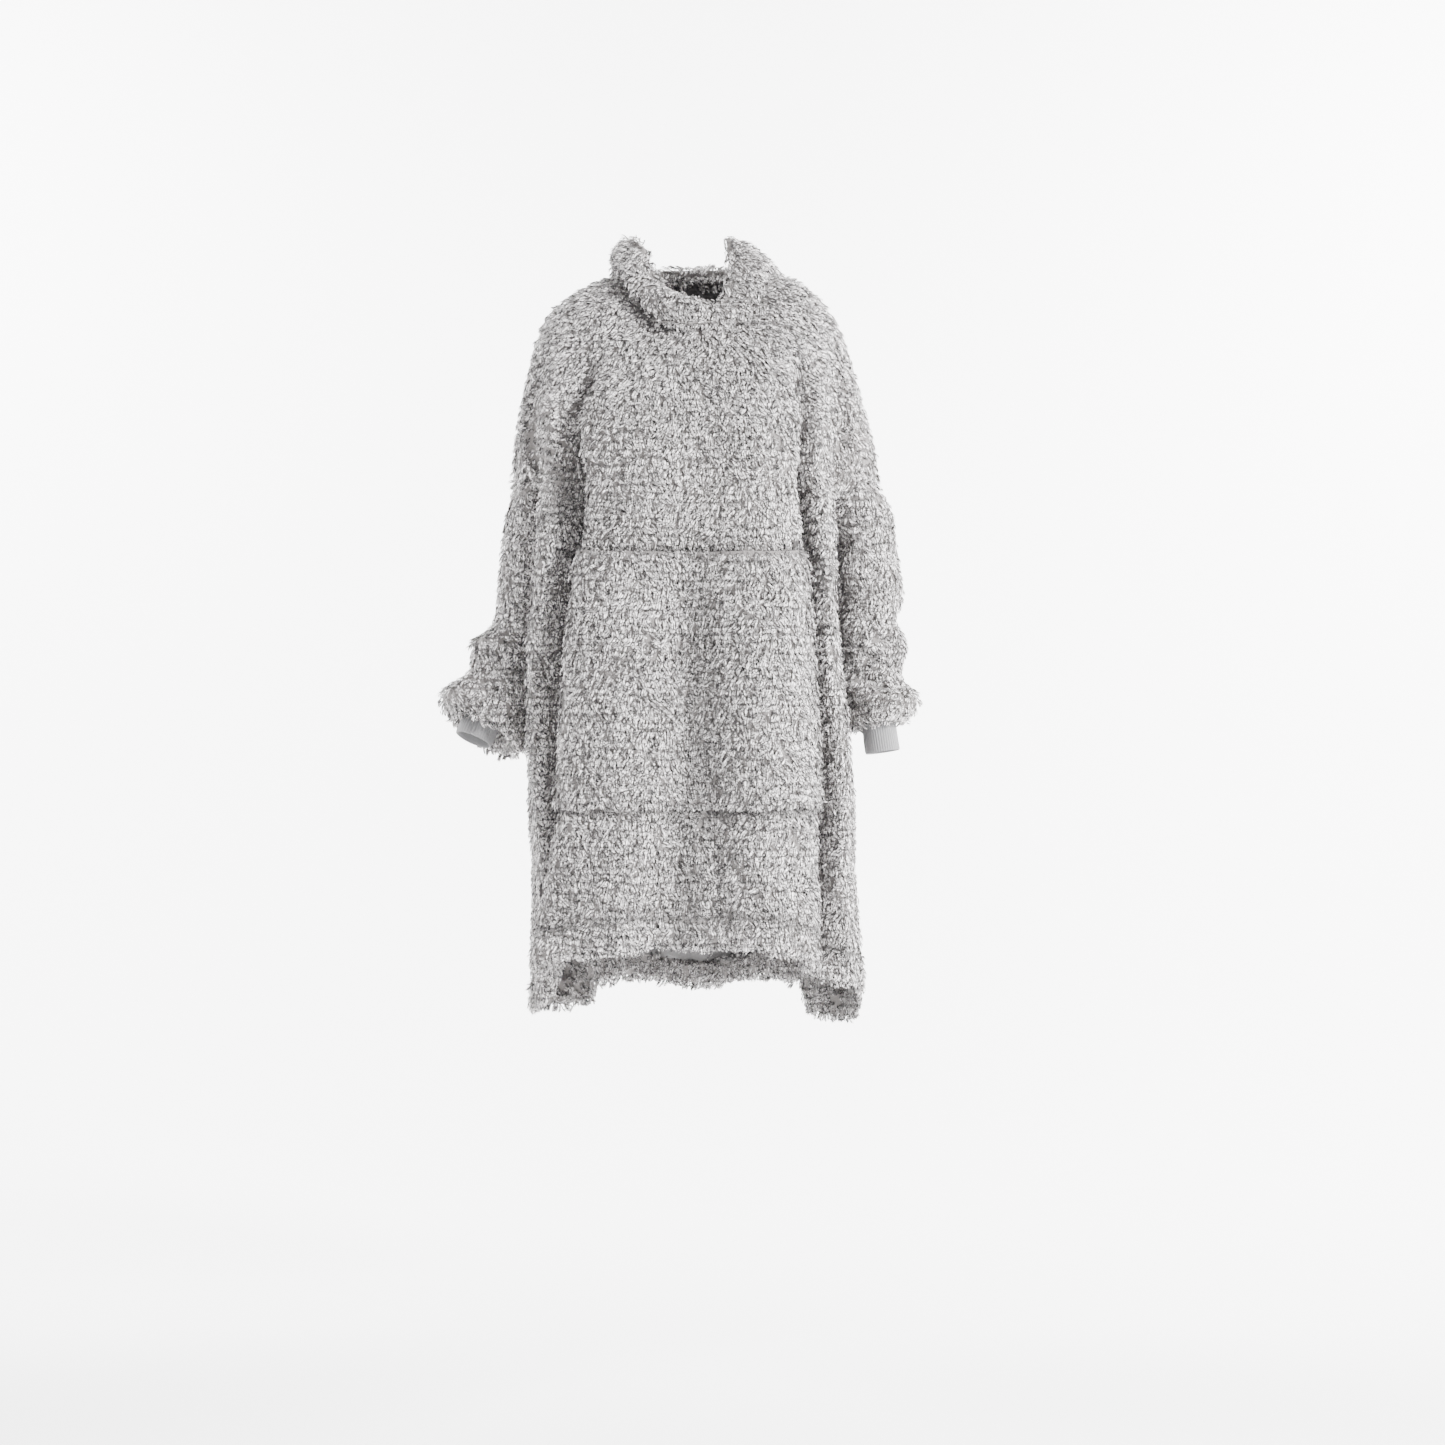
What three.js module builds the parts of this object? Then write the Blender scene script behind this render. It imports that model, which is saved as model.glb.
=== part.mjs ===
// A wearable blanket hoodie in long-pile fleece, hanging as it is worn, standing open with nobody in it.
// Millimetres. +Z is up, the front faces -Y and the wearer's left side is +X.
// The origin is where the wearer carries it: on the neck's axis, just below the neck seam at the shoulders.
import * as THREE from "three";

// Cloth
const FLEECE = 7.5; // backing and pile together
const POCKET_FLEECE = 6.5;
const RIB_KNIT = 2.6;
const SEAM_GAP = 0.3;
const LAID_GAP = 0.6; // between two layers that only lie on each other

// Turned and stitched edges
const HEM_BAND = 35;
const STITCH_DEPTH = 2.5; // how far the stitched line pulls into the pile
const STITCH_SPREAD = 9;
const POCKET_SEAM_THINNING = 0.55; // share of the pile left where the pocket is sewn down
const POCKET_ROLL = 1.25; // the turned edge of each hand opening, as a share of the pocket's cloth

// Cuffs: the middle of the open end, half width and half depth outside, and how far the axis leans outwards and
// forwards, in degrees.
const RIBS = 42;
const RIB_RELIEF = 0.7;
const CUFF_LENGTH = 62;
const CUFF_LAP = 9; // how far the cuff runs up inside the sleeve
const CUFFS = {
  left: { x: 250, y: -10, z: -633, width: 23.5, depth: 28, lean: 8, pitch: 4 },
  right: { x: 309, y: -22, z: -616, width: 26.5, depth: 28, lean: 22, pitch: 15 },
};

// A table with named columns, as one object for each row.
const table = (columns, rows) =>
  rows.map((row) => Object.fromEntries(columns.map((name, i) => [name, row[i]])));

// The fold points of a section, from the middle of a panel to its side edge.
const FOLDS = ["middle", "ridge", "edge", "groove", "column", "armpit", "arm", "side"];
const SEGMENTS = [2, 3, 2, 2, 2, 2, 2]; // mesh columns between one fold point and the next
const HALF_COLUMNS = SEGMENTS.reduce((a, b) => a + b, 0);
const FLAT_COLUMNS = SEGMENTS[0] + SEGMENTS[1]; // from the middle to the panel's front edge

// Sections of each panel, from the neck seam down to the hem. z is the height at the middle and zSide at the side
// edge. Each fold point has its distance from the middle line and, under the same name with Y, how far out in
// front or behind it lies. The last four columns are added on the wearer's right, where the cloth hangs wider.
const SECTION_COLUMNS = [
  "z", "zSide", "middleY", "ridge", "ridgeY", "edge", "edgeY", "groove", "grooveY", "column", "columnY", "armpit",
  "armpitY", "arm", "armY", "armUp", "side", "sideY", "rightEdge", "rightColumn", "rightArm", "rightSide",
];
const FRONT_SECTIONS = table(SECTION_COLUMNS, [
  [-62, 21, 86, 35, 83, 60, 72, 72, 61, 82, 47, 88, 32, 91, 16, 0, 92, -4, 0, 0, 0, 0],
  [-88, 12, 98, 42, 97, 78, 88, 95, 77, 110, 62, 120, 44, 126, 22, 0, 128, -4, 2, 6, 6, 6],
  [-118, -34, 110, 48, 110, 104, 99, 126, 86, 148, 72, 163, 55, 172, 30, 0, 178, -4, 8, 20, 23, 26],
  [-190, -142, 131, 52, 133, 131, 109, 114, 76, 155, 90, 183, 56, 205, 46, 5, 216, -7, 26, 38, 28, 20],
  [-270, -263, 139, 55, 143, 127, 115, 104, 56, 153, 92, 181, 56, 218, 44, 42, 242, -10, 21, 38, 24, 12],
  [-322, -268, 141, 57, 146, 131, 115, 106, 52, 156, 94, 181, 60, 189, 58, 10, 208, 48, 19, 38, 32, 26],
  [-364, -352, 141, 58, 147, 135, 115, 110, 48, 164, 94, 181, 66, 160, 26, 0, 144, -12, 21, 38, 4, 12],
  [-500, -500, 142, 68, 150, 146, 117, 118, 44, 168, 90, 188, 62, 170, 22, 0, 154, -14, 25, 44, 10, 16],
  [-600, -600, 145, 74, 157, 150, 121, 124, 42, 178, 86, 200, 58, 186, 18, 0, 178, -18, 27, 32, 16, 18],
  [-704, -704, 148, 80, 162, 154, 124, 130, 40, 188, 80, 205, 48, 208, 10, 0, 206, -22, 29, 22, 22, 22],
  [-800, -800, 152, 86, 167, 154, 128, 134, 44, 190, 70, 206, 34, 209, 2, 0, 209, -24, 47, 17, 17, 17],
  [-884, -962, 156, 92, 171, 158, 134, 144, 66, 200, 62, 217, 34, 223, 4, 0, 222, -26, 64, 9, 8, 8],
]);
const BACK_SECTIONS = table(SECTION_COLUMNS, [
  [20, 21, 78, 35, 75, 60, 66, 72, 55, 82, 43, 88, 30, 91, 16, 0, 92, 4, 0, 0, 0, 0],
  [-30, 12, 98, 42, 97, 78, 88, 95, 77, 110, 62, 120, 44, 126, 24, 0, 128, 4, 2, 6, 6, 6],
  [-100, -34, 118, 48, 118, 100, 108, 124, 95, 146, 78, 162, 58, 172, 34, 0, 178, 4, 4, 20, 23, 26],
  [-190, -142, 130, 52, 133, 116, 118, 128, 98, 158, 102, 184, 82, 204, 62, 0, 216, 7, 8, 38, 28, 20],
  [-275, -263, 130, 55, 137, 122, 116, 120, 76, 160, 110, 184, 88, 222, 86, 40, 242, 10, 8, 36, 24, 12],
  [-324, -276, 130, 57, 138, 126, 116, 120, 70, 160, 112, 178, 98, 188, 96, 12, 208, 84, 8, 36, 32, 26],
  [-364, -352, 130, 58, 138, 130, 116, 120, 66, 162, 112, 183, 96, 154, 50, 0, 144, 12, 8, 36, 4, 12],
  [-500, -500, 133, 66, 145, 140, 122, 122, 60, 166, 112, 190, 84, 170, 50, 0, 154, 14, 8, 40, 10, 16],
  [-600, -600, 140, 72, 153, 148, 126, 127, 58, 176, 112, 200, 84, 186, 48, 0, 178, 18, 8, 30, 16, 18],
  [-704, -704, 146, 78, 160, 154, 130, 132, 60, 186, 110, 206, 76, 209, 46, 0, 206, 22, 8, 22, 22, 22],
  [-820, -820, 158, 84, 171, 157, 138, 138, 70, 190, 108, 206, 74, 210, 48, 0, 209, 24, 8, 17, 17, 17],
  [-967, -962, 168, 88, 180, 160, 148, 152, 98, 198, 102, 217, 74, 224, 50, 0, 222, 26, 4, 9, 8, 8],
]);
const SHOULDER = 4; // the section whose side edge is the end of the shoulder line, where the armhole starts
const UNDERARM = 6; // the section whose side edge is the underarm, where the side seam starts
const POCKET_TOP = 6; // the pocket runs from this section
const POCKET_BOTTOM = 9; // to this one
const MESH_ROWS = [2, 2, 3, 3, 5, 5, 4, 3, 3, 2]; // mesh rows between one section and the next
const HEM_ROWS = [HEM_BAND + STITCH_SPREAD, HEM_BAND, HEM_BAND - STITCH_SPREAD, 0]; // rows above the hem's edge

// How far each fold point of the hem hangs below the section's middle, for each panel and side.
const HEM_DROPS = table(["panel", "half", ...FOLDS], [
  ["front", 1, 0, 4, 29, 42, 58, 60, 64, 80],
  ["front", -1, 0, 6, 29, 60, 84, 92, 98, 102],
  ["back", 1, 0, -10, 4, 28, 42, 34, 12, -3],
  ["back", -1, 0, -8, 0, 16, 24, 26, 24, 19],
]);

// Long soft folds raised or sunk in a panel: where each starts and ends, its half width and its height.
const SOFT_FOLDS = table(["panel", "x", "z", "xEnd", "zEnd", "width", "rise"], [
  ["front", -7, -290, -5, -960, 36, -23],
  ["front", -70, -380, -86, -960, 36, 7],
  ["front", 74, -380, 88, -960, 40, 8],
  ["front", 60, -90, 100, -420, 22, 4],
  ["front", -60, -90, -112, -400, 22, 4],
  ["back", -6, -250, -4, -1000, 30, -16],
  ["back", 58, -200, 74, -1000, 26, 9],
  ["back", -60, -200, -80, -1000, 26, 9],
]);

// Rings down each sleeve below the armhole: the ring's centre, its half width and half depth, how far its outer
// side is tipped up and how far its front is tipped up, in degrees. rows is the mesh rows down to it.
const SLEEVE_COLUMNS = ["x", "y", "z", "width", "depth", "tilt", "pitch", "rows"];
const SLEEVE_RINGS = {
  left: table(SLEEVE_COLUMNS, [
    [228, 20, -324, 40, 60, 40, 0, 1],
    [229, 24, -376, 43, 58, 22, 0, 2],
    [234, 20, -425, 44, 58, 12, 0, 2],
    [234, 14, -460, 44, 57, 8, 0, 2],
    [237, 7, -500, 44, 55, 7, 0, 2],
    [240, 0, -535, 42, 54, 7, 2, 1],
    [250, -5, -560, 46, 58, 8, 4, 1],
    [250, -8, -578, 44, 57, 8, 5, 1],
    [247, -9, -591, 36, 46, 8, 5, 1],
    [246, -9, -594, 31, 37, 8, 5, 1],
  ]),
  right: table(SLEEVE_COLUMNS, [
    [230, 22, -330, 43, 62, 42, 0, 1],
    [235, 24, -378, 41, 58, 22, 0, 2],
    [235, 20, -422, 42, 58, 12, 0, 2],
    [242, 14, -461, 44, 58, 10, 2, 2],
    [263, 6, -501, 53, 58, 14, 6, 2],
    [270, -1, -537, 55, 57, 20, 12, 1],
    [293, -8, -575, 62, 60, 26, 20, 1],
    [296, -8, -594, 62, 60, 29, 22, 1],
    [293, -8, -605, 53, 53, 29, 23, 1],
    [297, -13, -602, 42, 43, 27, 20, 1],
  ]),
};

// Creases across a sleeve: its height, where round the sleeve it is deepest (0 outside, 90 front), how far it
// spreads up and down and round the sleeve, and its depth.
const CREASE_COLUMNS = ["z", "around", "height", "spread", "depth"];
const SLEEVE_CREASES = {
  left: table(CREASE_COLUMNS, [
    [-447, 5, 13, 75, 13],
    [-532, 15, 12, 80, 9],
    [-500, 110, 12, 45, 8],
    [-420, 200, 18, 60, 6],
    [-470, 290, 14, 50, 8],
  ]),
  right: table(CREASE_COLUMNS, [
    [-356, 60, 14, 45, 6],
    [-462, 10, 11, 60, 8],
    [-520, 30, 12, 80, 12],
    [-430, 280, 16, 60, 8],
    [-520, 190, 12, 60, 6],
  ]),
};
const GATHER_RELIEF = 1.8; // where each sleeve is drawn in to its cuff
const GATHER_ROWS = 4;
const UNDERARM_GAP = 3; // more room in the sharp fold under the arm

// The hood lies back. Sections across it at angles round the neck from the front: how far out from the neck seam
// and up from it each point lies, from the seam over the roll, down the back, round the turn and up to the lip.
const HOOD_POINTS = ["stand", "roll", "lay", "hang", "turn", "climb", "crown", "lip"];
const HOOD_COLUMNS = ["angle", ...HOOD_POINTS.flatMap((p) => [p, p + "Z"])];
const HOOD_MIDDLE = table(HOOD_COLUMNS, [[0, 1, 4, 2, 8, 3, 12, 3, 15, 2, 18, 1, 20, -1, 23, -4, 26]]);
const HOOD_SIDES = {
  left: table(HOOD_COLUMNS, [
    [20, 0, 5, 1, 10, 1, 15, -1, 20, -4, 25, -7, 29, -11, 33, -15, 36],
    [40, 0, 6, 1, 13, 0, 20, -4, 28, -10, 36, -18, 44, -28, 52, -38, 60],
    [65, -1, 8, -1, 15, -2, 22, -6, 30, -16, 38, -28, 46, -41, 53, -54, 60],
    [90, -1, 10, -3, 18, -8, 24, -17, 31, -22, 39, -33, 45, -45, 50, -58, 56],
    [105, -1, 7, 2, 12, 6, 15, 9, 17, 8, 21, 0, 28, -16, 37, -40, 47],
  ]),
  right: table(HOOD_COLUMNS, [
    [20, 1, 6, 3, 11, 4, 17, 4, 22, 3, 27, 1, 31, -2, 34, -6, 37],
    [40, 2, 7, 6, 14, 10, 20, 12, 27, 11, 35, 5, 43, -6, 50, -19, 55],
    [65, -1, 8, 4, 16, 13, 20, 18, 25, 19, 33, 13, 43, 0, 54, -16, 64],
    [90, 0, 8, 4, 17, 12, 20, 20, 20, 26, 26, 24, 38, 14, 48, 4, 50],
    [105, 1, 7, 5, 13, 12, 14, 20, 10, 27, 12, 28, 24, 12, 38, -6, 46],
  ]),
};
const HOOD_BACK = table(HOOD_COLUMNS, [
  [120, 1, 5, 7, 8, 18, 1, 32, -13, 46, -22, 50, -8, 30, 12, -10, 38],
  [150, -3, 8, 6, 18, 30, 8, 56, -84, 76, -184, 100, -172, 106, -64, 68, 26],
  [165, -3, 8, 7, 19, 36, 7, 60, -104, 80, -220, 106, -202, 115, -82, 84, 22],
  [180, -3, 8, 8, 20, 38, 6, 60, -110, 80, -232, 108, -212, 118, -90, 92, 20],
]);
const HOOD_ROWS = 14;
const NECK_GAP = 1.2; // more room where the hood turns up from the neck seam
const HOOD_RESTS_FROM = 25; // the hood rests on the back where its seam lies at least this far back
const HOOD_LAP = 1; // mesh columns by which each front end crosses the middle
const HOOD_LAP_END = 0.3; // share of its height left at the crossing end
const HOOD_LAP_GAP = 6;
const HOOD_LAP_FADE = 5; // mesh columns over which the upper layer comes level again

const smooth = (t) => {
  const s = Math.min(1, Math.max(0, t));
  return s * s * (3 - 2 * s);
};
const bell = (t) => Math.exp(-t * t);
const radians = THREE.MathUtils.degToRad;
const vector = (x, y, z) => new THREE.Vector3(x, y, z);
const curveAt = (points, place) =>
  new THREE.CatmullRomCurve3(points, false, "centripetal").getPoint(place / (points.length - 1));

// How far a fold point lies from the middle line.
function foldX(section, name, side) {
  if (name === "middle") return 0;
  const x = section[name];
  if (side > 0) return x;
  if (name === "ridge") return x + section.rightEdge * 0.4;
  if (name === "edge") return x + section.rightEdge;
  if (name === "groove") return x + section.rightEdge * 0.8;
  if (name === "column" || name === "armpit") return x + section.rightColumn;
  if (name === "arm") return x + section.rightArm;
  return x + section.rightSide;
}

// The height of a fold point in a section: level over the middle, then easing to the side edge's height.
function foldZ(section, index) {
  const share = smooth((index - 1) / (FOLDS.length - 2));
  const raised = { armpit: 0.5, arm: 1 }[FOLDS[index]] ?? 0;
  return section.z + (section.zSide - section.z) * share + section.armUp * raised;
}

// One fold point down the whole panel. face is -1 for the front and 1 for the back.
function guideCurve(sections, index, side, face) {
  const name = FOLDS[index];
  const panel = face < 0 ? "front" : "back";
  const drops = HEM_DROPS.find((d) => d.panel === panel && d.half === side);
  return sections.map((section, row) => {
    const hem = row === sections.length - 1;
    const z = hem ? section.z - drops[name] : foldZ(section, index);
    return vector(side * foldX(section, name, side), face * section[name + "Y"], z);
  });
}

// The places of the mesh rows down one guide, between its sections.
function rowPlaces(guide) {
  const places = [0];
  MESH_ROWS.forEach((count, i) => {
    for (let k = 1; k <= count; k++) places.push(i + k / count);
  });
  const last = guide.length - 1;
  const span = guide[last].distanceTo(guide[last - 1]);
  HEM_ROWS.forEach((above) => places.push(last - above / span));
  return places;
}

// The first mesh row of a section.
const meshRow = (section) => MESH_ROWS.slice(0, section).reduce((a, b) => a + b, 0);

// The middle surface of a panel: rows from the neck seam to the hem, columns from the wearer's right to the left.
function panelGrid(sections, face) {
  const guides = [];
  for (let i = FOLDS.length - 1; i > 0; i--) guides.push(guideCurve(sections, i, -1, face));
  for (let i = 0; i < FOLDS.length; i++) guides.push(guideCurve(sections, i, 1, face));
  const lines = guides.map((guide) => rowPlaces(guide).map((place) => curveAt(guide, place)));
  const spans = [...SEGMENTS].reverse().concat(SEGMENTS);
  return lines[0].map((_, j) => {
    const across = lines.map((line) => line[j]);
    const row = [across[0].clone()];
    spans.forEach((count, i) => {
      for (let k = 1; k <= count; k++) row.push(curveAt(across, i + k / count));
    });
    return row;
  });
}

// Raises the soft folds of a panel along its normals.
function addSoftFolds(grid, panel) {
  const normals = gridNormals(grid, false);
  const folds = SOFT_FOLDS.filter((fold) => fold.panel === panel);
  grid.forEach((row, j) =>
    row.forEach((p, i) => {
      const inside = smooth((FLAT_COLUMNS + 1 - Math.abs(i - HALF_COLUMNS)) / 2);
      const rise = folds.reduce((sum, fold) => {
        const share = (p.z - fold.z) / (fold.zEnd - fold.z);
        const middle = fold.x + (fold.xEnd - fold.x) * share;
        return sum + fold.rise * smooth(share * 3.5) * bell((p.x - middle) / fold.width);
      }, 0);
      p.addScaledVector(normals[j][i], rise * inside);
    }),
  );
}

// Makes the side edges of the two panels one line where they are sewn together.
function joinSides(front, back) {
  front.forEach((row, j) => {
    if (j > meshRow(SHOULDER) && j < meshRow(UNDERARM)) return;
    const ends = [
      [row[0], back[j].at(-1)],
      [row.at(-1), back[j][0]],
    ];
    ends.forEach(([p, q]) => {
      p.lerp(q, 0.5);
      q.copy(p);
    });
  });
}

// Normals of a grid by its neighbours, outwards. closed joins each row's ends.
function gridNormals(grid, closed) {
  const last = grid.length - 1;
  return grid.map((row, j) =>
    row.map((_, i) => {
      const n = row.length;
      const before = closed ? row[(i + n - 1) % n] : row[Math.max(0, i - 1)];
      const after = closed ? row[(i + 1) % n] : row[Math.min(n - 1, i + 1)];
      const across = after.clone().sub(before);
      const along = grid[Math.min(last, j + 1)][i].clone().sub(grid[Math.max(0, j - 1)][i]);
      return along.cross(across).normalize();
    }),
  );
}

// Every quad of a grid as row, column and next column.
function quads(rows, columns, closed) {
  const found = [];
  for (let j = 0; j + 1 < rows; j++)
    for (let i = 0; i < (closed ? columns : columns - 1); i++) found.push([j, i, (i + 1) % columns]);
  return found;
}

// Normals that agree where grids meet: each face adds its own to the points it touches, whichever grid it is in.
class Weld {
  sums = new Map();
  key(p) {
    return [p.x, p.y, p.z].map((v) => Math.round(v * 50)).join();
  }
  addFace(a, b, c) {
    const face = b.clone().sub(a).cross(c.clone().sub(a)).normalize();
    [[a, b, c], [b, c, a], [c, a, b]].forEach(([p, q, r]) => {
      const angle = q.clone().sub(p).angleTo(r.clone().sub(p)) || 0;
      const sum = this.sums.get(this.key(p)) ?? vector(0, 0, 0);
      this.sums.set(this.key(p), sum.addScaledVector(face, angle));
    });
  }
  addGrid(grid, closed) {
    quads(grid.length, grid[0].length, closed).forEach(([j, i, k]) => {
      this.addFace(grid[j][i], grid[j + 1][i], grid[j + 1][k]);
      this.addFace(grid[j][i], grid[j + 1][k], grid[j][k]);
    });
  }
  normals(grid) {
    return grid.map((row) => row.map((p) => this.sums.get(this.key(p)).clone().normalize()));
  }
}

// A grid moved along its normals by a distance for each row and column.
const offset = (grid, normals, distance) =>
  grid.map((row, j) => row.map((p, i) => p.clone().addScaledVector(normals[j][i], distance(j, i))));

// How far each point of a grid is moved to keep its piece apart from the next one: the border points go a little
// inwards along the cloth, square to the seam. extra is added at the top edge, for each column.
function seamSteps(grid, closed, edges, extra) {
  const steps = grid.map((row) => row.map(() => vector(0, 0, 0)));
  const add = (step, p, inner, before, after, more) => {
    const along = after.clone().sub(before).normalize();
    const inwards = inner.clone().sub(p);
    inwards.addScaledVector(along, -inwards.dot(along));
    step.add(inwards.setLength(SEAM_GAP * 0.75 + more));
  };
  const last = grid[0].length - 1;
  const end = grid.length - 1;
  if (edges.includes("top"))
    grid[0].forEach((p, i) => {
      const before = grid[0][closed ? (i + last) % (last + 1) : Math.max(0, i - 1)];
      const after = grid[0][closed ? (i + 1) % (last + 1) : Math.min(last, i + 1)];
      add(steps[0][i], p, grid[1][i], before, after, extra(i));
    });
  if (closed) return steps;
  grid.forEach((row, j) => {
    const [above, below] = [grid[Math.max(0, j - 1)], grid[Math.min(end, j + 1)]];
    if (edges.includes("first")) add(steps[j][0], row[0], row[1], above[0], below[0], 0);
    if (edges.includes("last")) add(steps[j][last], row[last], row[last - 1], above[last], below[last], 0);
  });
  return steps;
}

// A closed wall between an outer and an inner grid of the same size. Each quad is split along its shorter diagonal,
// so that two pieces split the face between them alike.
function wall(outer, inner, closed) {
  const rows = outer.length;
  const columns = outer[0].length;
  const points = [...outer.flat(), ...inner.flat()];
  const at = (layer, j, i) => layer * rows * columns + j * columns + i;
  const index = [];
  const quad = (a, b, c, d) => {
    const straight = points[a].distanceTo(points[c]) <= points[b].distanceTo(points[d]);
    index.push(...(straight ? [a, b, c, a, c, d] : [b, c, d, b, d, a]));
  };
  quads(rows, columns, closed).forEach(([j, i, k]) => {
    quad(at(0, j, i), at(0, j + 1, i), at(0, j + 1, k), at(0, j, k));
    quad(at(1, j, i), at(1, j, k), at(1, j + 1, k), at(1, j + 1, i));
  });
  quads(2, columns, closed).forEach(([, i, k]) => {
    quad(at(0, 0, i), at(0, 0, k), at(1, 0, k), at(1, 0, i));
    quad(at(0, rows - 1, k), at(0, rows - 1, i), at(1, rows - 1, i), at(1, rows - 1, k));
  });
  if (!closed)
    for (let j = 0; j + 1 < rows; j++) {
      quad(at(0, j + 1, 0), at(0, j, 0), at(1, j, 0), at(1, j + 1, 0));
      quad(at(0, j, columns - 1), at(0, j + 1, columns - 1), at(1, j + 1, columns - 1), at(1, j, columns - 1));
    }
  const geometry = new THREE.BufferGeometry();
  geometry.setAttribute("position", new THREE.Float32BufferAttribute(points.flatMap((p) => p.toArray()), 3));
  geometry.setIndex(index);
  geometry.computeVertexNormals();
  return geometry;
}

// The directions of a ring: out from the body, to the front, and up its axis.
function ringFrame(tilt, pitch, side) {
  const [t, p] = [radians(tilt), radians(pitch)];
  const axis = vector(-side * Math.sin(t) * Math.cos(p), Math.sin(p), Math.cos(t) * Math.cos(p));
  const out = vector(side * Math.cos(t), 0, Math.sin(t));
  const front = out.clone().cross(axis).multiplyScalar(side);
  return { axis, out, front };
}

// Points round a ring from its outer side, through the back on the left and through the front on the right.
function ringPoints(centre, frame, width, depth, side, count) {
  return Array.from({ length: count }, (_, i) => {
    const angle = (-side * i * 2 * Math.PI) / count;
    return centre
      .clone()
      .addScaledVector(frame.out, width * Math.cos(angle))
      .addScaledVector(frame.front, depth * Math.sin(angle));
  });
}

// The armhole's points in the same order, from the side edges of the panels.
function armholePoints(front, back, side) {
  const rows = [];
  for (let j = meshRow(SHOULDER); j <= meshRow(UNDERARM); j++) rows.push(j);
  const frontEdge = rows.map((j) => (side > 0 ? front[j].at(-1) : front[j][0]));
  const backEdge = rows.map((j) => (side > 0 ? back[j][0] : back[j].at(-1)));
  const [down, up] = side > 0 ? [backEdge, frontEdge] : [frontEdge, backEdge];
  return [...down, ...up.slice(1, -1).reverse()].map((p) => p.clone());
}

// A sleeve's middle surface, from the armhole down to the cuff.
function sleeveGrid(armhole, name, side) {
  const count = armhole.length;
  const cuff = CUFFS[name];
  const end = ringFrame(cuff.lean, cuff.pitch, side);
  const seam = vector(side * cuff.x, cuff.y, cuff.z).addScaledVector(end.axis, CUFF_LENGTH - CUFF_LAP);
  const clear = FLEECE / 2 + SEAM_GAP + 0.3;
  const rings = SLEEVE_RINGS[name].map((ring) => {
    const frame = ringFrame(ring.tilt, ring.pitch, side);
    return ringPoints(vector(side * ring.x, ring.y, ring.z), frame, ring.width, ring.depth, side, count);
  });
  rings.push(ringPoints(seam, end, cuff.width + clear, cuff.depth + clear, side, count));
  const lines = armhole.map((p, i) => [p, ...rings.map((ring) => ring[i])]);
  const places = [0];
  [...SLEEVE_RINGS[name].map((ring) => ring.rows), 2].forEach((rows, i) => {
    for (let k = 1; k <= rows; k++) places.push(i + k / rows);
  });
  const grid = places.map((place) => lines.map((line) => (place ? curveAt(line, place) : line[0].clone())));
  addCreases(grid, name, side);
  return grid;
}

// Sinks the creases into a sleeve, leaving its seams as they are.
function addCreases(grid, name, side) {
  const normals = gridNormals(grid, true);
  const count = grid[0].length;
  grid.forEach((row, j) => {
    const free = smooth((j - 1) / 2) * smooth((grid.length - 4 - j) / 2);
    row.forEach((p, i) => {
      const around = (-side * i * 360) / count;
      const depth = SLEEVE_CREASES[name].reduce((sum, crease) => {
        const turn = Math.abs(((((around - crease.around) % 360) + 540) % 360) - 180);
        return sum + crease.depth * bell(turn / crease.spread) * bell((p.z - crease.z) / crease.height);
      }, 0);
      p.addScaledVector(normals[j][i], -depth * free);
    });
  });
}

// A ribbed cuff: a tube with the ribs raised outside over a plain inside.
function cuffGeometry(name, side) {
  const cuff = CUFFS[name];
  const frame = ringFrame(cuff.lean, cuff.pitch, side);
  const mouth = vector(side * cuff.x, cuff.y, cuff.z);
  const ring = (height, inset) => {
    const centre = mouth.clone().addScaledVector(frame.axis, height);
    return ringPoints(centre, frame, cuff.width - inset, cuff.depth - inset, side, RIBS * 2);
  };
  const ribbed = (height) => {
    const low = ring(height, RIB_RELIEF);
    return ring(height, 0).map((p, i) => (i % 2 ? low[i] : p));
  };
  const heights = [CUFF_LENGTH, 0];
  return wall(
    heights.map((h) => ribbed(h)),
    heights.map((h) => ring(h, RIB_KNIT)),
    true,
  );
}

// One line of the hood's middle surface, from its point of the neck seam to the lip.
function hoodLine(seam, sections) {
  const angle = Math.abs(THREE.MathUtils.radToDeg(Math.atan2(seam.x, -seam.y)));
  const next = Math.max(1, sections.findIndex((s) => s.angle >= angle - 1e-6));
  const [a, b] = [sections[next - 1], sections[next]];
  const share = (angle - a.angle) / (b.angle - a.angle);
  const mix = (name) => a[name] + (b[name] - a[name]) * share;
  const outward = vector(seam.x, seam.y, 0).normalize();
  const points = HOOD_POINTS.map((name) => {
    const p = seam.clone().addScaledVector(outward, mix(name));
    p.z += mix(name + "Z");
    return p;
  });
  const line = [seam.clone(), ...points];
  return Array.from({ length: HOOD_ROWS + 1 }, (_, j) => curveAt(line, (j / HOOD_ROWS) * (line.length - 1)));
}

// The hood's middle surface round the whole neck, from the middle back past the wearer's left side and the front.
function hoodGrid(front, back) {
  const neck = [...back[0].slice(0, HALF_COLUMNS + 1)].reverse();
  neck.push(...[...front[0]].reverse().slice(1));
  neck.push(...[...back[0].slice(HALF_COLUMNS)].reverse().slice(1));
  const lines = neck.map((p, i) => {
    const side = i <= neck.length / 2 ? "left" : "right";
    return hoodLine(p, [...HOOD_MIDDLE, ...HOOD_SIDES[side], ...HOOD_BACK]);
  });
  return Array.from({ length: HOOD_ROWS + 1 }, (_, j) => lines.map((line) => line[j]));
}

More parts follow.
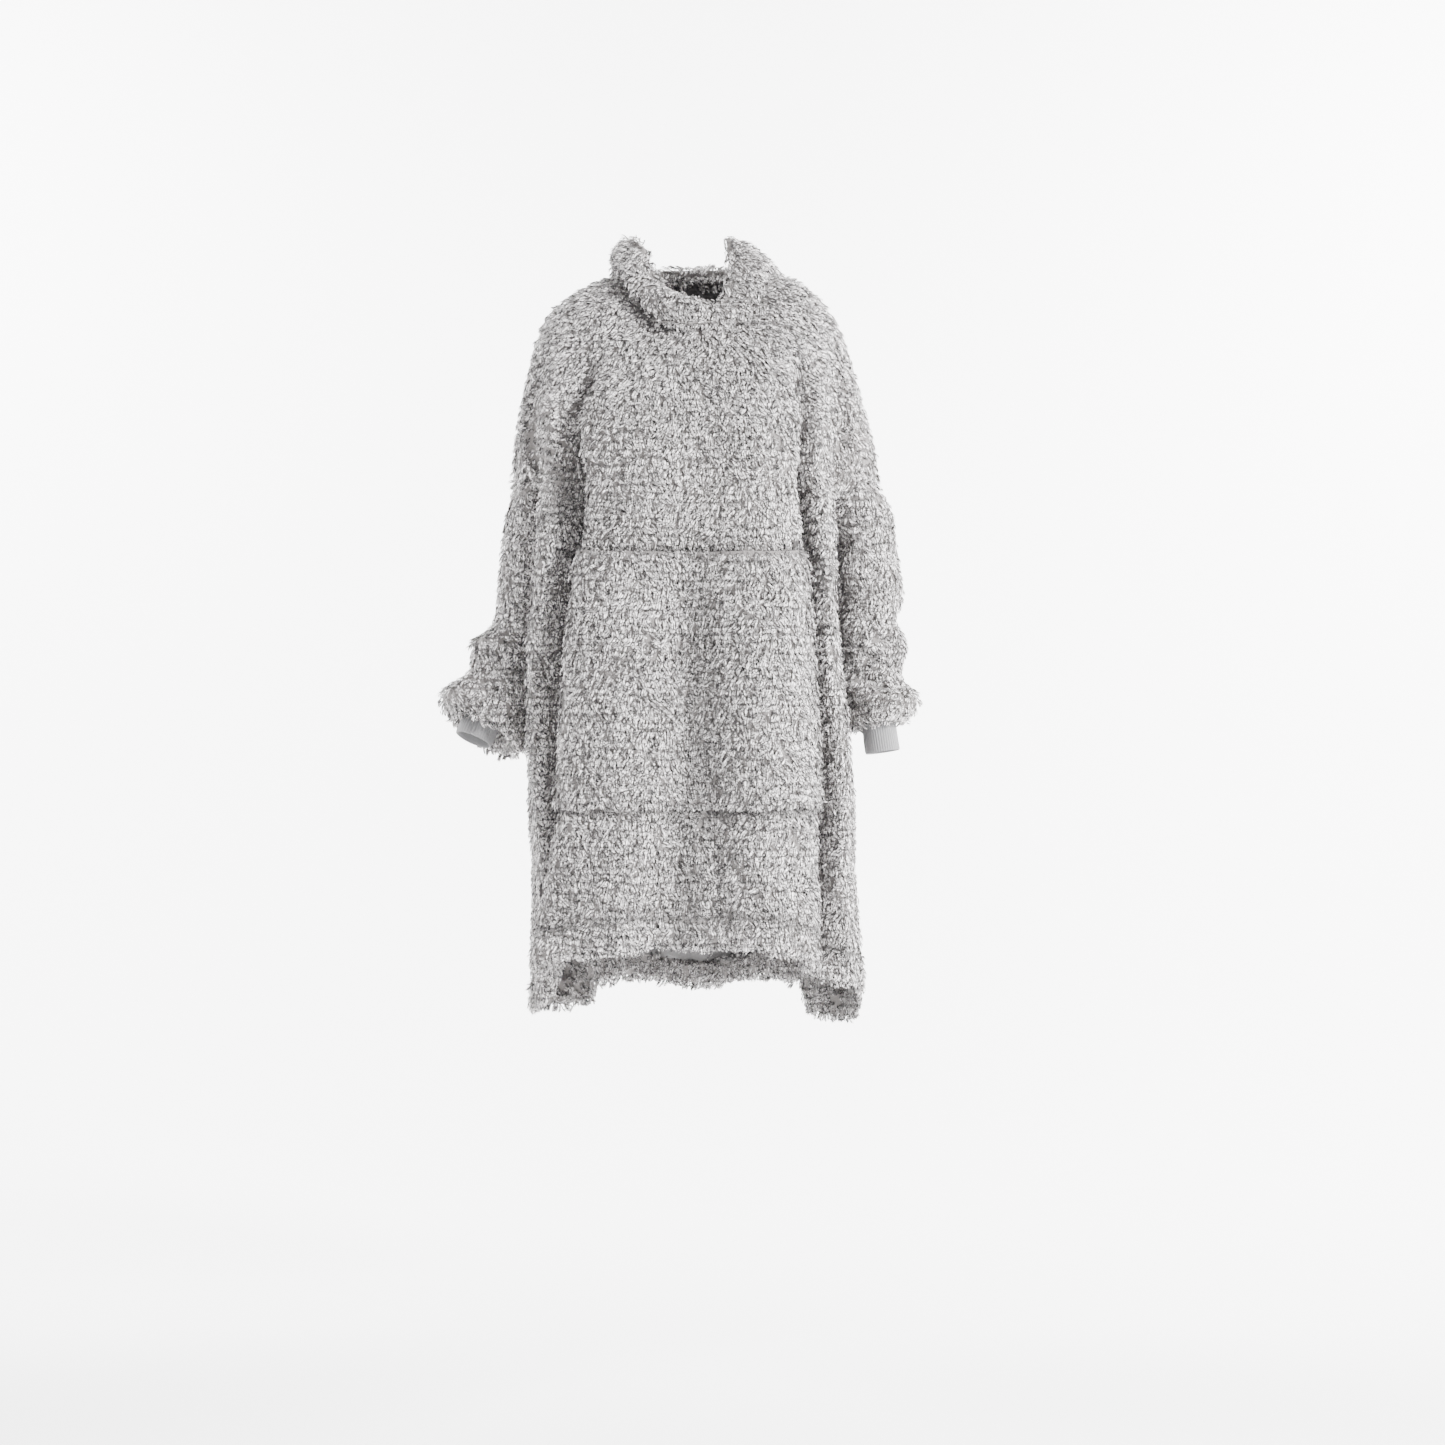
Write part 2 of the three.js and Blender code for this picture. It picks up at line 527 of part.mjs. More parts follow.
// Lifts any point of a grid that lies too close above a surface, so that the cloth rests on it. Only the columns
// that start behind the neck are looked at.
function restOn(grid, surface, normals, clear) {
  const points = surface.flat();
  const ways = normals.flat();
  grid.slice(2).forEach((row) =>
    row.forEach((p, i) => {
      if (grid[0][i].y < HOOD_RESTS_FROM) return;
      let nearest = 0;
      points.forEach((q, k) => {
        if (p.distanceToSquared(q) < p.distanceToSquared(points[nearest])) nearest = k;
      });
      const height = p.clone().sub(points[nearest]).dot(ways[nearest]);
      if (height < clear) p.addScaledVector(ways[nearest], clear - height);
    }),
  );
}

// The panels, the sleeves and the hood as one welded surface
const front = panelGrid(FRONT_SECTIONS, -1);
const back = panelGrid(BACK_SECTIONS, 1).map((row) => row.reverse());
addSoftFolds(front, "front");
addSoftFolds(back, "back");
joinSides(front, back);
const sleeves = {
  left: sleeveGrid(armholePoints(front, back, 1), "left", 1),
  right: sleeveGrid(armholePoints(front, back, -1), "right", -1),
};
const hood = hoodGrid(front, back);
restOn(hood, back, gridNormals(back, false), FLEECE + LAID_GAP + 1);

const weld = new Weld();
weld.addGrid(front, false);
weld.addGrid(back, false);
weld.addGrid(sleeves.left, true);
weld.addGrid(sleeves.right, true);
weld.addGrid(hood, false);

const fleece = new THREE.MeshStandardMaterial({ color: 0xbcb6b4, roughness: 0.95, metalness: 0 });
const knit = new THREE.MeshStandardMaterial({ color: 0xa2a1a2, roughness: 0.85, metalness: 0 });
const hoodie = new THREE.Group();
hoodie.name = "wearable_blanket_hoodie";

function addPiece(name, geometry, material) {
  const mesh = new THREE.Mesh(geometry, material.clone());
  mesh.name = name;
  hoodie.add(mesh);
}

// The two faces of a piece's wall, drawn back at its seams.
function faces(grid, normals, closed, edges, relief = () => 0, extra = () => 0) {
  const half = FLEECE / 2;
  const steps = seamSteps(grid, closed, edges, extra);
  const drawBack = (face) => face.map((row, j) => row.map((p, i) => p.add(steps[j][i])));
  return [
    drawBack(offset(grid, normals, (j, i) => half + relief(j, i))),
    drawBack(offset(grid, normals, () => -half)),
  ];
}

// Front and back, with the hem's stitched line pulled in
const hemStitch = front.length - 3;
const panelEdges = ["top", "first", "last"];
const hemRelief = (j) => (j === hemStitch ? -STITCH_DEPTH : 0);
const frontNormals = weld.normals(front);
const neckGap = () => SEAM_GAP;
const [frontOuter, frontInner] = faces(front, frontNormals, false, panelEdges, hemRelief, neckGap);
addPiece("front", wall(frontOuter, frontInner, false), fleece);
const [backOuter, backInner] = faces(back, weld.normals(back), false, panelEdges, hemRelief, neckGap);
addPiece("back", wall(backOuter, backInner, false), fleece);

// Pocket, laid on the front between the panel's front edges
const pocketFirst = HALF_COLUMNS - FLAT_COLUMNS;
const pocketLast = HALF_COLUMNS + FLAT_COLUMNS;
const pocketPart = (grid) =>
  grid.slice(meshRow(POCKET_TOP), meshRow(POCKET_BOTTOM) + 1).map((row) => row.slice(pocketFirst, pocketLast + 1));
const pocketBase = pocketPart(frontOuter);
const pocketNormals = pocketPart(frontNormals);
const pocketThickness = (j, i) => {
  const sewn = j === 0 || j === pocketBase.length - 1;
  const rolled = i === 1 || i === pocketBase[0].length - 2;
  return POCKET_FLEECE * (sewn ? POCKET_SEAM_THINNING : rolled ? POCKET_ROLL : 1);
};
const pocketInner = offset(pocketBase, pocketNormals, () => SEAM_GAP);
const pocketOuter = offset(pocketInner, pocketNormals, pocketThickness);
addPiece("pocket", wall(pocketOuter, pocketInner, false), fleece);

// Sleeves, gathered at the cuffs, and the cuffs
Object.entries({ left: 1, right: -1 }).forEach(([name, side]) => {
  const grid = sleeves[name];
  const gather = (j, i) => {
    const near = grid.length - 2 - j;
    return near > 0 && near <= GATHER_ROWS && i % 2 ? -GATHER_RELIEF : 0;
  };
  const underarm = (i) => SEAM_GAP * 1.6 + UNDERARM_GAP * Math.max(0, -Math.cos((i * 2 * Math.PI) / grid[0].length));
  const [outer, inner] = faces(grid, weld.normals(grid), true, ["top"], gather, underarm);
  addPiece("sleeve_" + name, wall(outer, inner, true), fleece);
  addPiece("cuff_" + name, cuffGeometry(name, side), knit);
});

// Hood halves: the wearer's right one crosses over the left one in front
const hoodNormals = weld.normals(hood);
const hoodEnd = hood[0].length - 1;
const hoodMiddle = hoodEnd / 2;
function hoodHalf(first, last, crosses, lift, edges) {
  const part = hood.map((row, j) =>
    row.slice(first, last + 1).map((p, i) => {
      const column = first + i;
      const raised = p.clone().addScaledVector(hoodNormals[j][column], lift(column));
      const foot = hood[0][column].clone().addScaledVector(hoodNormals[0][column], lift(column));
      return crosses(column) ? foot.lerp(raised, HOOD_LAP_END) : raised;
    }),
  );
  const normals = hoodNormals.map((row) => row.slice(first, last + 1));
  return wall(...faces(part, normals, false, edges, () => 0, () => NECK_GAP), false);
}
const layer = FLEECE + HOOD_LAP_GAP;
const overLift = (column) => layer * smooth((HOOD_LAP_FADE - (column - hoodMiddle - HOOD_LAP)) / HOOD_LAP_FADE);
const leftCrosses = (column) => column > hoodMiddle;
const rightCrosses = (column) => column < hoodMiddle;
addPiece("hood_left", hoodHalf(0, hoodMiddle + HOOD_LAP, leftCrosses, () => 0, ["top", "first"]), fleece);
addPiece("hood_right", hoodHalf(hoodMiddle - HOOD_LAP, hoodEnd, rightCrosses, overLift, ["top", "last"]), fleece);

export default hoodie;
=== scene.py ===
"""Looks of the wearable blanket hoodie, laid out as a Blender add-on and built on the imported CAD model."""

import math

import bmesh
import bpy
import numpy as np
from bpy.props import FloatProperty, FloatVectorProperty, IntProperty, PointerProperty
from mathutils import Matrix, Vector
from mathutils.bvhtree import BVHTree
from mathutils.kdtree import KDTree


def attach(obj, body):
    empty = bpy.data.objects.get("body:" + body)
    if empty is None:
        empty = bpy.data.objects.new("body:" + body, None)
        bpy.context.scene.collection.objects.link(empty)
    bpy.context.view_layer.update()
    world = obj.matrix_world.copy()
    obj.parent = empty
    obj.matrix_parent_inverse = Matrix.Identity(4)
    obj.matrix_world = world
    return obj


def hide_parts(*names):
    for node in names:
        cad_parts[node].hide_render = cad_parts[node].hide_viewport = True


bl_info = {
    "name": "Wearable Blanket Hoodie",
    "version": (1, 0, 0),
    "blender": (4, 5, 0),
    "location": "View3D > Sidebar > Blanket",
    "description": "Builds a sherpa wearable blanket with a hood, pocket, sleeves and ribbed cuffs",
    "category": "Object",
}

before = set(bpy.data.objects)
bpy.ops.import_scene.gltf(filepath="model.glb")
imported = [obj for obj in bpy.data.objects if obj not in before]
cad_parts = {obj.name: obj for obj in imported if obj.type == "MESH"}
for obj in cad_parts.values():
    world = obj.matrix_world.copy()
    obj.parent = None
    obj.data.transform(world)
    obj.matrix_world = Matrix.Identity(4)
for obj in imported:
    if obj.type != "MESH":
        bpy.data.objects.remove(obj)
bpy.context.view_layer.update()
TAU = 2 * math.pi

# Material slots of a fleece shell
BACKING, REVERSE, SEAM, EDGE = range(4)

# Camera of the photograph and the floor under the garment, in metres
CAMERA_PLACE = (0.0308, -3.6, -0.5925)
CAMERA_LENS = 65.4
SENSOR_WIDTH = 36
FLOOR_HEIGHT = -1.46
FLOOR_GLOW = 0.55
SKY_GLOW = 0.28

# Studio lights: place, aim and size in metres, power in watts
LIGHTS = (
    ("key_light", (3.1, -2.6, 0.8), (0, 0, -0.55), 1.0, 740),
    ("fill_light", (-2.6, -2.9, 0.3), (0, 0, -0.6), 2.4, 45),
    ("top_light", (0.3, -0.7, 2.5), (0, 0, -0.5), 2.0, 70),
    ("backdrop_left", (-2.6, 0.9, 0.9), (0.4, 2.8, -0.6), 1.6, 480),
    ("backdrop_right", (2.6, 0.9, 0.9), (-0.4, 2.8, -0.6), 1.6, 480),
)

# Cuffs as the CAD has them, in millimetres and degrees, and their cut in metres
CUFF_LENGTH = 62
CUFFS = {
    "cuff_left": {"side": 1, "x": 250, "y": -10, "z": -633, "width": 23.5, "depth": 28, "lean": 8, "pitch": 4},
    "cuff_right": {"side": -1, "x": 309, "y": -22, "z": -616, "width": 26.5, "depth": 28, "lean": 22, "pitch": 15},
}
POINTS_PER_RIB = 6

# The cuff's turned lower edge: height as a share of its length, inset as a share of the knit, and share of the ribs
CUFF_TURN = [(0.05, 0, 1), (0.0175, 0.125, 1), (0, 0.375, 0.5), (0, 0.575, 0.5), (0.015, 0.85, 0), (0.05, 1, 0)]

# Each sheet of fleece: its flat cut in metres, which way its outer side faces, which edge shows sherpa inside,
# how far its curls stay apart as a share of their width, and the seed of its pile
FLEECE = {
    "front": {"flat": (0.88, 0.92), "outward": (0, -1, 0), "band": "hem", "apart": 0.7, "seed": 11},
    "back": {"flat": (0.88, 0.96), "outward": (0, 1, 0), "band": "hem", "apart": 0.79, "seed": 12},
    "pocket": {"flat": (0.40, 0.35), "outward": (0, -1, 0), "band": None, "apart": 0.7, "seed": 13},
    "sleeve_left": {"flat": (0.35, 0.30), "outward": None, "band": None, "apart": 0.7, "seed": 14},
    "sleeve_right": {"flat": (0.38, 0.32), "outward": None, "band": None, "apart": 0.7, "seed": 15},
    "hood_left": {"flat": (0.36, 0.27), "outward": "neck", "band": "lip", "apart": 0.7, "seed": 16},
    "hood_right": {"flat": (0.36, 0.27), "outward": "neck", "band": "lip", "apart": 0.7, "seed": 17},
}

# Sheets whose shells carry folds narrower than the CAD's columns
FINER = ("front", "pocket", "sleeve_left", "sleeve_right")

# Those folds, in millimetres: x and z where each starts and ends, its half width and its depth
RIGHT_GROOVE = [(137, -285, 145, -450, 10, 7), (145, -450, 156, -640, 10, 8), (156, -640, 157, -900, 10, 8)]
CREASES = {
    "front": RIGHT_GROOVE,
    "pocket": RIGHT_GROOVE,
    "sleeve_left": [
        (240, -474, 262, -483, 6, 9),
        (232, -500, 262, -512, 6, 8),
        (216, -520, 250, -546, 7, 9),
        (196, -470, 216, -486, 6, 7),
        (206, -560, 230, -572, 6, 7),
    ],
    "sleeve_right": [
        (-300, -488, -272, -500, 6, 6),
        (-268, -520, -240, -516, 6, 6),
        (-310, -530, -280, -548, 7, 6),
    ],
}
SLEEVE_SHIFT = 0.0085  # how far the left sleeve's inner side comes to the body, in metres

# A side of a solid ends where it bends by more than this, in degrees. A rim is free where no other sheet is nearer
# than the gap, and it goes back by the strands that stand out of it, both in metres.
RIM_BEND = 52
FREE_GAP = 0.0012
EDGE_BACK = 0.0038
HEM_CORNER = {"x": 0.12, "reach": 0.1}  # beyond that x the hem shows sherpa this much further up inside, in metres

# Lines of stitches that press the pile down, in metres: how far the hem's lies above its band, the heights of the
# pocket's two sewn edges and how far these reach on either side, and the half width of each kind
HEM_LINE_ABOVE = 0.005
HEM_LINE_WIDTH = 0.0085
POCKET_EDGES = (-0.7045, -0.361)
POCKET_REACH = (-0.195, 0.16)
POCKET_LINE_WIDTH = 0.0065

# Area for each random sample on the sheets and on their free edges, in square metres, and the least distance
# between two single strands of an edge, in metres
SHEET_SAMPLE = 5.5e-6
EDGE_SAMPLE = 1.2e-6
EDGE_GAP = 0.0032


def length_property(name, description, default, low, high):
    """A property that holds a length in metres."""
    return FloatProperty(
        name=name, description=description, default=default, min=low, max=high, unit="LENGTH", subtype="DISTANCE"
    )


def colour_property(name, description, default):
    """A property that holds a linear colour."""
    return FloatVectorProperty(
        name=name, description=description, default=default, min=0, max=1, size=3, subtype="COLOR"
    )


class BlanketSizes(bpy.types.PropertyGroup):
    """Sizes of the cloth and its pile."""

    backing: length_property("Backing", "Thickness of the knitted backing under the pile", 0.0027, 0.001, 0.006)
    curl_width: length_property("Curl width", "Width of one curl of pile, at its root", 0.0092, 0.004, 0.04)
    strand_width: length_property("Strand width", "Width of one strand of a curl", 0.0025, 0.001, 0.02)
    pile_height: length_property("Pile height", "Height of a curl's end above the backing", 0.0056, 0.001, 0.02)
    strands: IntProperty(
        name="Strands", description="Strands in one curl", default=6, min=3, max=20, subtype="UNSIGNED"
    )
    row_pitch: length_property("Row pitch", "Distance from one row of curls to the next", 0.0088, 0.005, 0.05)
    hem_band: length_property("Hem band", "Height of the turned-up hem", 0.035, 0.01, 0.08)
    lip_band: length_property("Lip band", "Width of the hood's turned-in edge", 0.024, 0.005, 0.06)
    ribs: IntProperty(
        name="Ribs", description="Ribs round one cuff", default=42, min=12, max=90, subtype="UNSIGNED"
    )
    rib_relief: length_property("Rib relief", "Depth of the furrows between the ribs of a cuff", 0.0008, 0, 0.003)
    rib_knit: length_property("Rib knit", "Thickness of the doubled rib knit", 0.0026, 0.001, 0.006)


class BlanketColours(bpy.types.PropertyGroup):
    """Colours of the cloth and the floor, as linear values."""

    pile_tip: colour_property("Pile tip", "Colour of the ends of the pile", (0.78, 0.748, 0.742))
    # Painted shade: the pile darkens to this colour towards its roots, and the ground between the curls takes it
    pile_root_shade: colour_property("Pile root", "Colour deep in the pile", (0.2, 0.187, 0.182))
    # The reverse's own mid grey darkened as painted shade, since the inner side is seen only in shadow inside the
    # garment
    reverse: colour_property("Reverse", "Colour of the smooth inner side of the cloth", (0.12, 0.117, 0.117))
    rib: colour_property("Rib", "Colour of the cuffs", (0.2, 0.199, 0.202))
    floor: colour_property("Floor", "Colour of the studio floor", (0.86, 0.86, 0.86))


# ---------------------------------------------------------------- materials


def new_group(name, inputs, outputs):
    """A shader node group with float and colour sockets, with its input and output nodes."""
    group = bpy.data.node_groups.new(name, "ShaderNodeTree")
    for label, kind, default in inputs:
        socket = group.interface.new_socket(label, in_out="INPUT", socket_type=kind)
        if default is not None:
            socket.default_value = default
    for label, kind in outputs:
        group.interface.new_socket(label, in_out="OUTPUT", socket_type=kind)
    return group, group.nodes.new("NodeGroupInput"), group.nodes.new("NodeGroupOutput")


def ranged(nodes, low, high, to_low, to_high, smooth=True):
    """A node that maps low..high to another range."""
    node = nodes.new("ShaderNodeMapRange")
    node.interpolation_type = "SMOOTHSTEP" if smooth else "LINEAR"
    for name, value in (("From Min", low), ("From Max", high), ("To Min", to_low), ("To Max", to_high)):
        node.inputs[name].default_value = value
    return node


def noise(nodes, scale, detail, roughness=0.5):
    """A noise texture."""
    node = nodes.new("ShaderNodeTexNoise")
    for name, value in (("Scale", scale), ("Detail", detail), ("Roughness", roughness)):
        node.inputs[name].default_value = value
    return node


def times(nodes, links, vector, factor):
    """The vector or colour multiplied by the factor."""
    node = nodes.new("ShaderNodeVectorMath")
    node.operation = "SCALE"
    links.new(vector, node.inputs[0])
    links.new(factor, node.inputs["Scale"])
    return node.outputs["Vector"]


def add_bump(nodes, links, height, strength, distance, shader):
    """A bump from the height, on the shader's normal."""
    bump = nodes.new("ShaderNodeBump")
    bump.inputs["Strength"].default_value = strength
    bump.inputs["Distance"].default_value = distance
    links.new(height, bump.inputs["Height"])
    links.new(bump.outputs["Normal"], shader.inputs["Normal"])


def mottling_group():
    """Slow shifts of tone over the cloth, as wool takes its dye and lies this way and that."""
    group, source, result = new_group(
        "wool_mottling",
        [("Colour", "NodeSocketColor", (0.6, 0.6, 0.6, 1)), ("Amount", "NodeSocketFloat", 0.12)],
        [("Colour", "NodeSocketColor")],
    )
    nodes, links = group.nodes, group.links
    place = nodes.new("ShaderNodeTexCoord")
    broad = noise(nodes, 16, 4, 0.62)
    spread = ranged(nodes, 0.32, 0.68, -1, 1, smooth=False)
    scaled = nodes.new("ShaderNodeMath")
    scaled.operation = "MULTIPLY_ADD"
    scaled.inputs[2].default_value = 1
    links.new(place.outputs["Object"], broad.inputs["Vector"])
    links.new(broad.outputs["Fac"], spread.inputs["Value"])
    links.new(spread.outputs["Result"], scaled.inputs[0])
    links.new(source.outputs["Amount"], scaled.inputs[1])
    tinted = times(nodes, links, source.outputs["Colour"], scaled.outputs["Value"])
    links.new(tinted, result.inputs["Colour"])
    return group


def knit_group():
    """Fine knitted stitches: a height for the bump and a shade for the colour, from coordinates in metres."""
    group, source, result = new_group(
        "fine_knit",
        [("Stitch", "NodeSocketFloat", 900.0)],
        [("Height", "NodeSocketFloat"), ("Shade", "NodeSocketFloat")],
    )
    nodes, links = group.nodes, group.links
    place = nodes.new("ShaderNodeTexCoord")
    scaled = times(nodes, links, place.outputs["Object"], source.outputs["Stitch"])
    cells = nodes.new("ShaderNodeTexVoronoi")
    cells.inputs["Scale"].default_value = 1
    cells.inputs["Randomness"].default_value = 0.45
    fuzz = noise(nodes, 2.4, 3)
    height = nodes.new("ShaderNodeMath")
    height.operation = "MULTIPLY_ADD"
    height.inputs[1].default_value = -0.8
    links.new(scaled, cells.inputs["Vector"])
    links.new(scaled, fuzz.inputs["Vector"])
    links.new(cells.outputs["Distance"], height.inputs[0])
    links.new(fuzz.outputs["Fac"], height.inputs[2])
    links.new(height.outputs["Value"], result.inputs["Height"])
    links.new(cells.outputs["Distance"], result.inputs["Shade"])
    return group


def shared_group(name):
    """The node group of that name, made the first time it is asked for."""
    makers = {"wool_mottling": mottling_group, "fine_knit": knit_group}
    return bpy.data.node_groups.get(name) or makers[name]()


def add_group(nodes, name):
    """A node that holds the shared group of that name."""
    node = nodes.new("ShaderNodeGroup")
    node.node_tree = shared_group(name)
    return node


def new_material(name, roughness, sheen, sheen_roughness=0.5):
    """A material with a Principled shader, its nodes and its links."""
    material = bpy.data.materials.new(name)
    material.use_nodes = True
    shader = material.node_tree.nodes["Principled BSDF"]
    shader.inputs["Roughness"].default_value = roughness
    shader.inputs["Specular IOR Level"].default_value = 0.25
    shader.inputs["Sheen Weight"].default_value = sheen
    shader.inputs["Sheen Roughness"].default_value = sheen_roughness
    shader.inputs["Sheen Tint"].default_value = (1, 0.985, 0.975, 1)
    return material, shader, material.node_tree.nodes, material.node_tree.links


def rgba(values):
    """The colour with its alpha."""
    return (*values, 1)


def pile_material(colours):
    """Curly pile: pale ends, with painted shade in dark roots, in dark lines round the curls and between their
    strands, and between the rows.
    """
    material, shader, nodes, links = new_material("sherpa_pile", 0.88, 0.28)
    strand = nodes.new("ShaderNodeAttribute")
    strand.attribute_name = "strand"
    tone = nodes.new("ShaderNodeAttribute")
    tone.attribute_name = "tone"
    # Painted shade deep in the pile: each strand darkens to the root colour towards its root
    depth = ranged(nodes, 0.0, 0.55, 0, 1)
    mix = nodes.new("ShaderNodeMix")
    mix.data_type = "RGBA"
    mix.inputs[6].default_value = rgba(colours.pile_root_shade)
    mix.inputs[7].default_value = rgba(colours.pile_tip)
    # The tone attribute holds each strand's random tone with the pile's painted shade in it
    lift = ranged(nodes, 0, 1, 0.4, 1.48, smooth=False)
    links.new(strand.outputs["Fac"], depth.inputs["Value"])
    links.new(depth.outputs["Result"], mix.inputs[0])
    links.new(tone.outputs["Fac"], lift.inputs["Value"])

    # Across a strand: painted shade, dark at both borders
    lay = nodes.new("ShaderNodeUVMap")
    split = nodes.new("ShaderNodeSeparateXYZ")
    within = nodes.new("ShaderNodeMath")
    within.operation = "PINGPONG"
    within.inputs[1].default_value = 0.5
    strand_gap_shade = ranged(nodes, 0.0, 0.3, 0.26, 1)
    links.new(lay.outputs["UV"], split.inputs["Vector"])
    links.new(split.outputs["X"], within.inputs[0])
    links.new(within.outputs["Value"], strand_gap_shade.inputs["Value"])

    # Along a strand: fibres
    stretch = nodes.new("ShaderNodeMapping")
    stretch.inputs["Scale"].default_value = (7, 1.6, 1)
    grain = noise(nodes, 1, 3, 0.6)
    fibres = ranged(nodes, 0.3, 0.7, 0.84, 1.1, smooth=False)
    links.new(lay.outputs["UV"], stretch.inputs["Vector"])
    links.new(stretch.outputs["Vector"], grain.inputs["Vector"])
    links.new(grain.outputs["Fac"], fibres.inputs["Value"])

    # Round the curls: wavy lines of painted shade, wider than they are high
    place = nodes.new("ShaderNodeTexCoord")
    warp = noise(nodes, 150, 1)
    spread = nodes.new("ShaderNodeVectorMath")
    spread.operation = "MULTIPLY_ADD"
    spread.inputs[1].default_value = (0.015, 0.015, 0.015)
    squash = nodes.new("ShaderNodeMapping")
    squash.inputs["Scale"].default_value = (1, 1, 1.45)
    cells = nodes.new("ShaderNodeTexVoronoi")
    cells.feature = "DISTANCE_TO_EDGE"
    cells.inputs["Scale"].default_value = 118
    curl_gap_shade = ranged(nodes, 0.02, 0.15, 0.05, 1)
    links.new(place.outputs["Object"], warp.inputs["Vector"])
    links.new(warp.outputs["Color"], spread.inputs[0])
    links.new(place.outputs["Object"], spread.inputs[2])
    links.new(spread.outputs["Vector"], squash.inputs["Vector"])
    links.new(squash.outputs["Vector"], cells.inputs["Vector"])
    links.new(cells.outputs["Distance"], curl_gap_shade.inputs["Value"])

    # Between the rows: broken wavy lines of painted shade
    rows = nodes.new("ShaderNodeTexWave")
    rows.bands_direction = "Z"
    rows.inputs["Scale"].default_value = 27
    rows.inputs["Distortion"].default_value = 5
    rows.inputs["Detail"].default_value = 2
    rows.inputs["Detail Scale"].default_value = 1.1
    furrow = ranged(nodes, 0.0, 0.3, 0.56, 1)
    links.new(place.outputs["Object"], rows.inputs["Vector"])
    links.new(rows.outputs["Fac"], furrow.inputs["Value"])

    mottle = add_group(nodes, "wool_mottling")
    mottle.inputs["Amount"].default_value = 0.05
    colour = mix.outputs[2]
    for factor in (lift, strand_gap_shade, fibres, curl_gap_shade, furrow):
        colour = times(nodes, links, colour, factor.outputs["Result"])
    links.new(colour, mottle.inputs["Colour"])
    links.new(mottle.outputs["Colour"], shader.inputs["Base Color"])
    add_bump(nodes, links, cells.outputs["Distance"], 0.4, 0.0014, shader)
    return material


def backing_material(colours):
    """The ground of the pile, seen only between the curls, dark in the root colour as painted shade."""
    material, shader, nodes, links = new_material("sherpa_ground", 0.95, 0.15)
    place = nodes.new("ShaderNodeTexCoord")
    wool = noise(nodes, 420, 4)
    mix = nodes.new("ShaderNodeMix")
    mix.data_type = "RGBA"
    mix.inputs[6].default_value = rgba([0.8 * c for c in colours.pile_root_shade])
    mix.inputs[7].default_value = rgba(colours.pile_root_shade)
    mottle = add_group(nodes, "wool_mottling")
    mottle.inputs["Amount"].default_value = 0.1
    links.new(place.outputs["Object"], wool.inputs["Vector"])
    links.new(wool.outputs["Fac"], mix.inputs[0])
    links.new(mix.outputs[2], mottle.inputs["Colour"])
    links.new(mottle.outputs["Colour"], shader.inputs["Base Color"])
    add_bump(nodes, links, wool.outputs["Fac"], 0.8, 0.002, shader)
    return material


def knit_material(name, colour, stitch, sheen, strength, distance):
    """A smooth knitted face: fine stitches, soft shifts of tone, a little sheen."""
    material, shader, nodes, links = new_material(name, 0.82, sheen, 0.4)
    knit = add_group(nodes, "fine_knit")
    knit.inputs["Stitch"].default_value = stitch
    mottle = add_group(nodes, "wool_mottling")
    mottle.inputs["Amount"].default_value = 0.07
    mottle.inputs["Colour"].default_value = rgba(colour)
    shade = ranged(nodes, 0, 1, 1.08, 0.78, smooth=False)
    rough = ranged(nodes, 0, 1, 0.74, 0.92, smooth=False)
    links.new(knit.outputs["Shade"], shade.inputs["Value"])
    links.new(knit.outputs["Shade"], rough.inputs["Value"])
    fine = times(nodes, links, mottle.outputs["Colour"], shade.outputs["Result"])
    links.new(fine, shader.inputs["Base Color"])
    links.new(rough.outputs["Result"], shader.inputs["Roughness"])
    add_bump(nodes, links, knit.outputs["Height"], strength, distance, shader)
    return material


def material_of(name, colours):
    """The material of that name, made the first time it is asked for."""
    makers = {
        "sherpa_pile": lambda: pile_material(colours),
        "sherpa_ground": lambda: backing_material(colours),
        "fleece_reverse": lambda: knit_material("fleece_reverse", colours.reverse, 620, 0.3, 0.35, 0.0006),
        "cuff_knit": lambda: knit_material("cuff_knit", colours.rib, 1100, 0.2, 0.3, 0.0005),
    }
    return bpy.data.materials.get(name) or makers[name]()


# ---------------------------------------------------------------- meshes


def new_piece(name, mesh):
    """A piece of the garment in the scene, at the origin, riding on the body."""
    piece = bpy.data.objects.new(name, mesh)
    bpy.context.scene.collection.objects.link(piece)
    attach(piece, "root")
    return piece


def node_tree(names):
    """A search tree over the CAD nodes of those names."""
    points, faces = [], []
    for name in names:
        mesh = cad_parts[name].data
        first = len(points)
        points += [v.co.copy() for v in mesh.vertices]
        faces += [tuple(first + i for i in p.vertices) for p in mesh.polygons]
    return BVHTree.FromPolygons(points, faces)


def face_regions(bm, angle):
    """Groups of faces joined across edges that bend less than the angle, the largest first."""
    seen, found = set(), []
    for start in bm.faces:
        if start in seen:
            continue
        seen.add(start)
        group, stack = [], [start]
        while stack:
            face = stack.pop()
            group.append(face)
            for edge in face.edges:
                if len(edge.link_faces) != 2 or edge.calc_face_angle(9) > angle:
                    continue
                for other in edge.link_faces:
                    if other not in seen:
                        seen.add(other)
                        stack.append(other)
        found.append(group)
    return sorted(found, key=lambda group: -sum(f.calc_area() for f in group))


def outward_score(faces, outward):
    """How far a side of the cloth faces outward: along an axis, away from the neck, or by its size on a tube."""
    if outward is None:
        return sum(f.calc_area() for f in faces)
    score = 0
    for face in faces:
        centre = face.calc_center_median()
        if outward == "neck":
            if centre.xy.length < 0.11 and centre.z < 0.02:
                score += face.calc_area() * face.normal.dot((centre.x, centre.y, 0))
        else:
            score += face.calc_area() * face.normal.dot(outward)
    return score


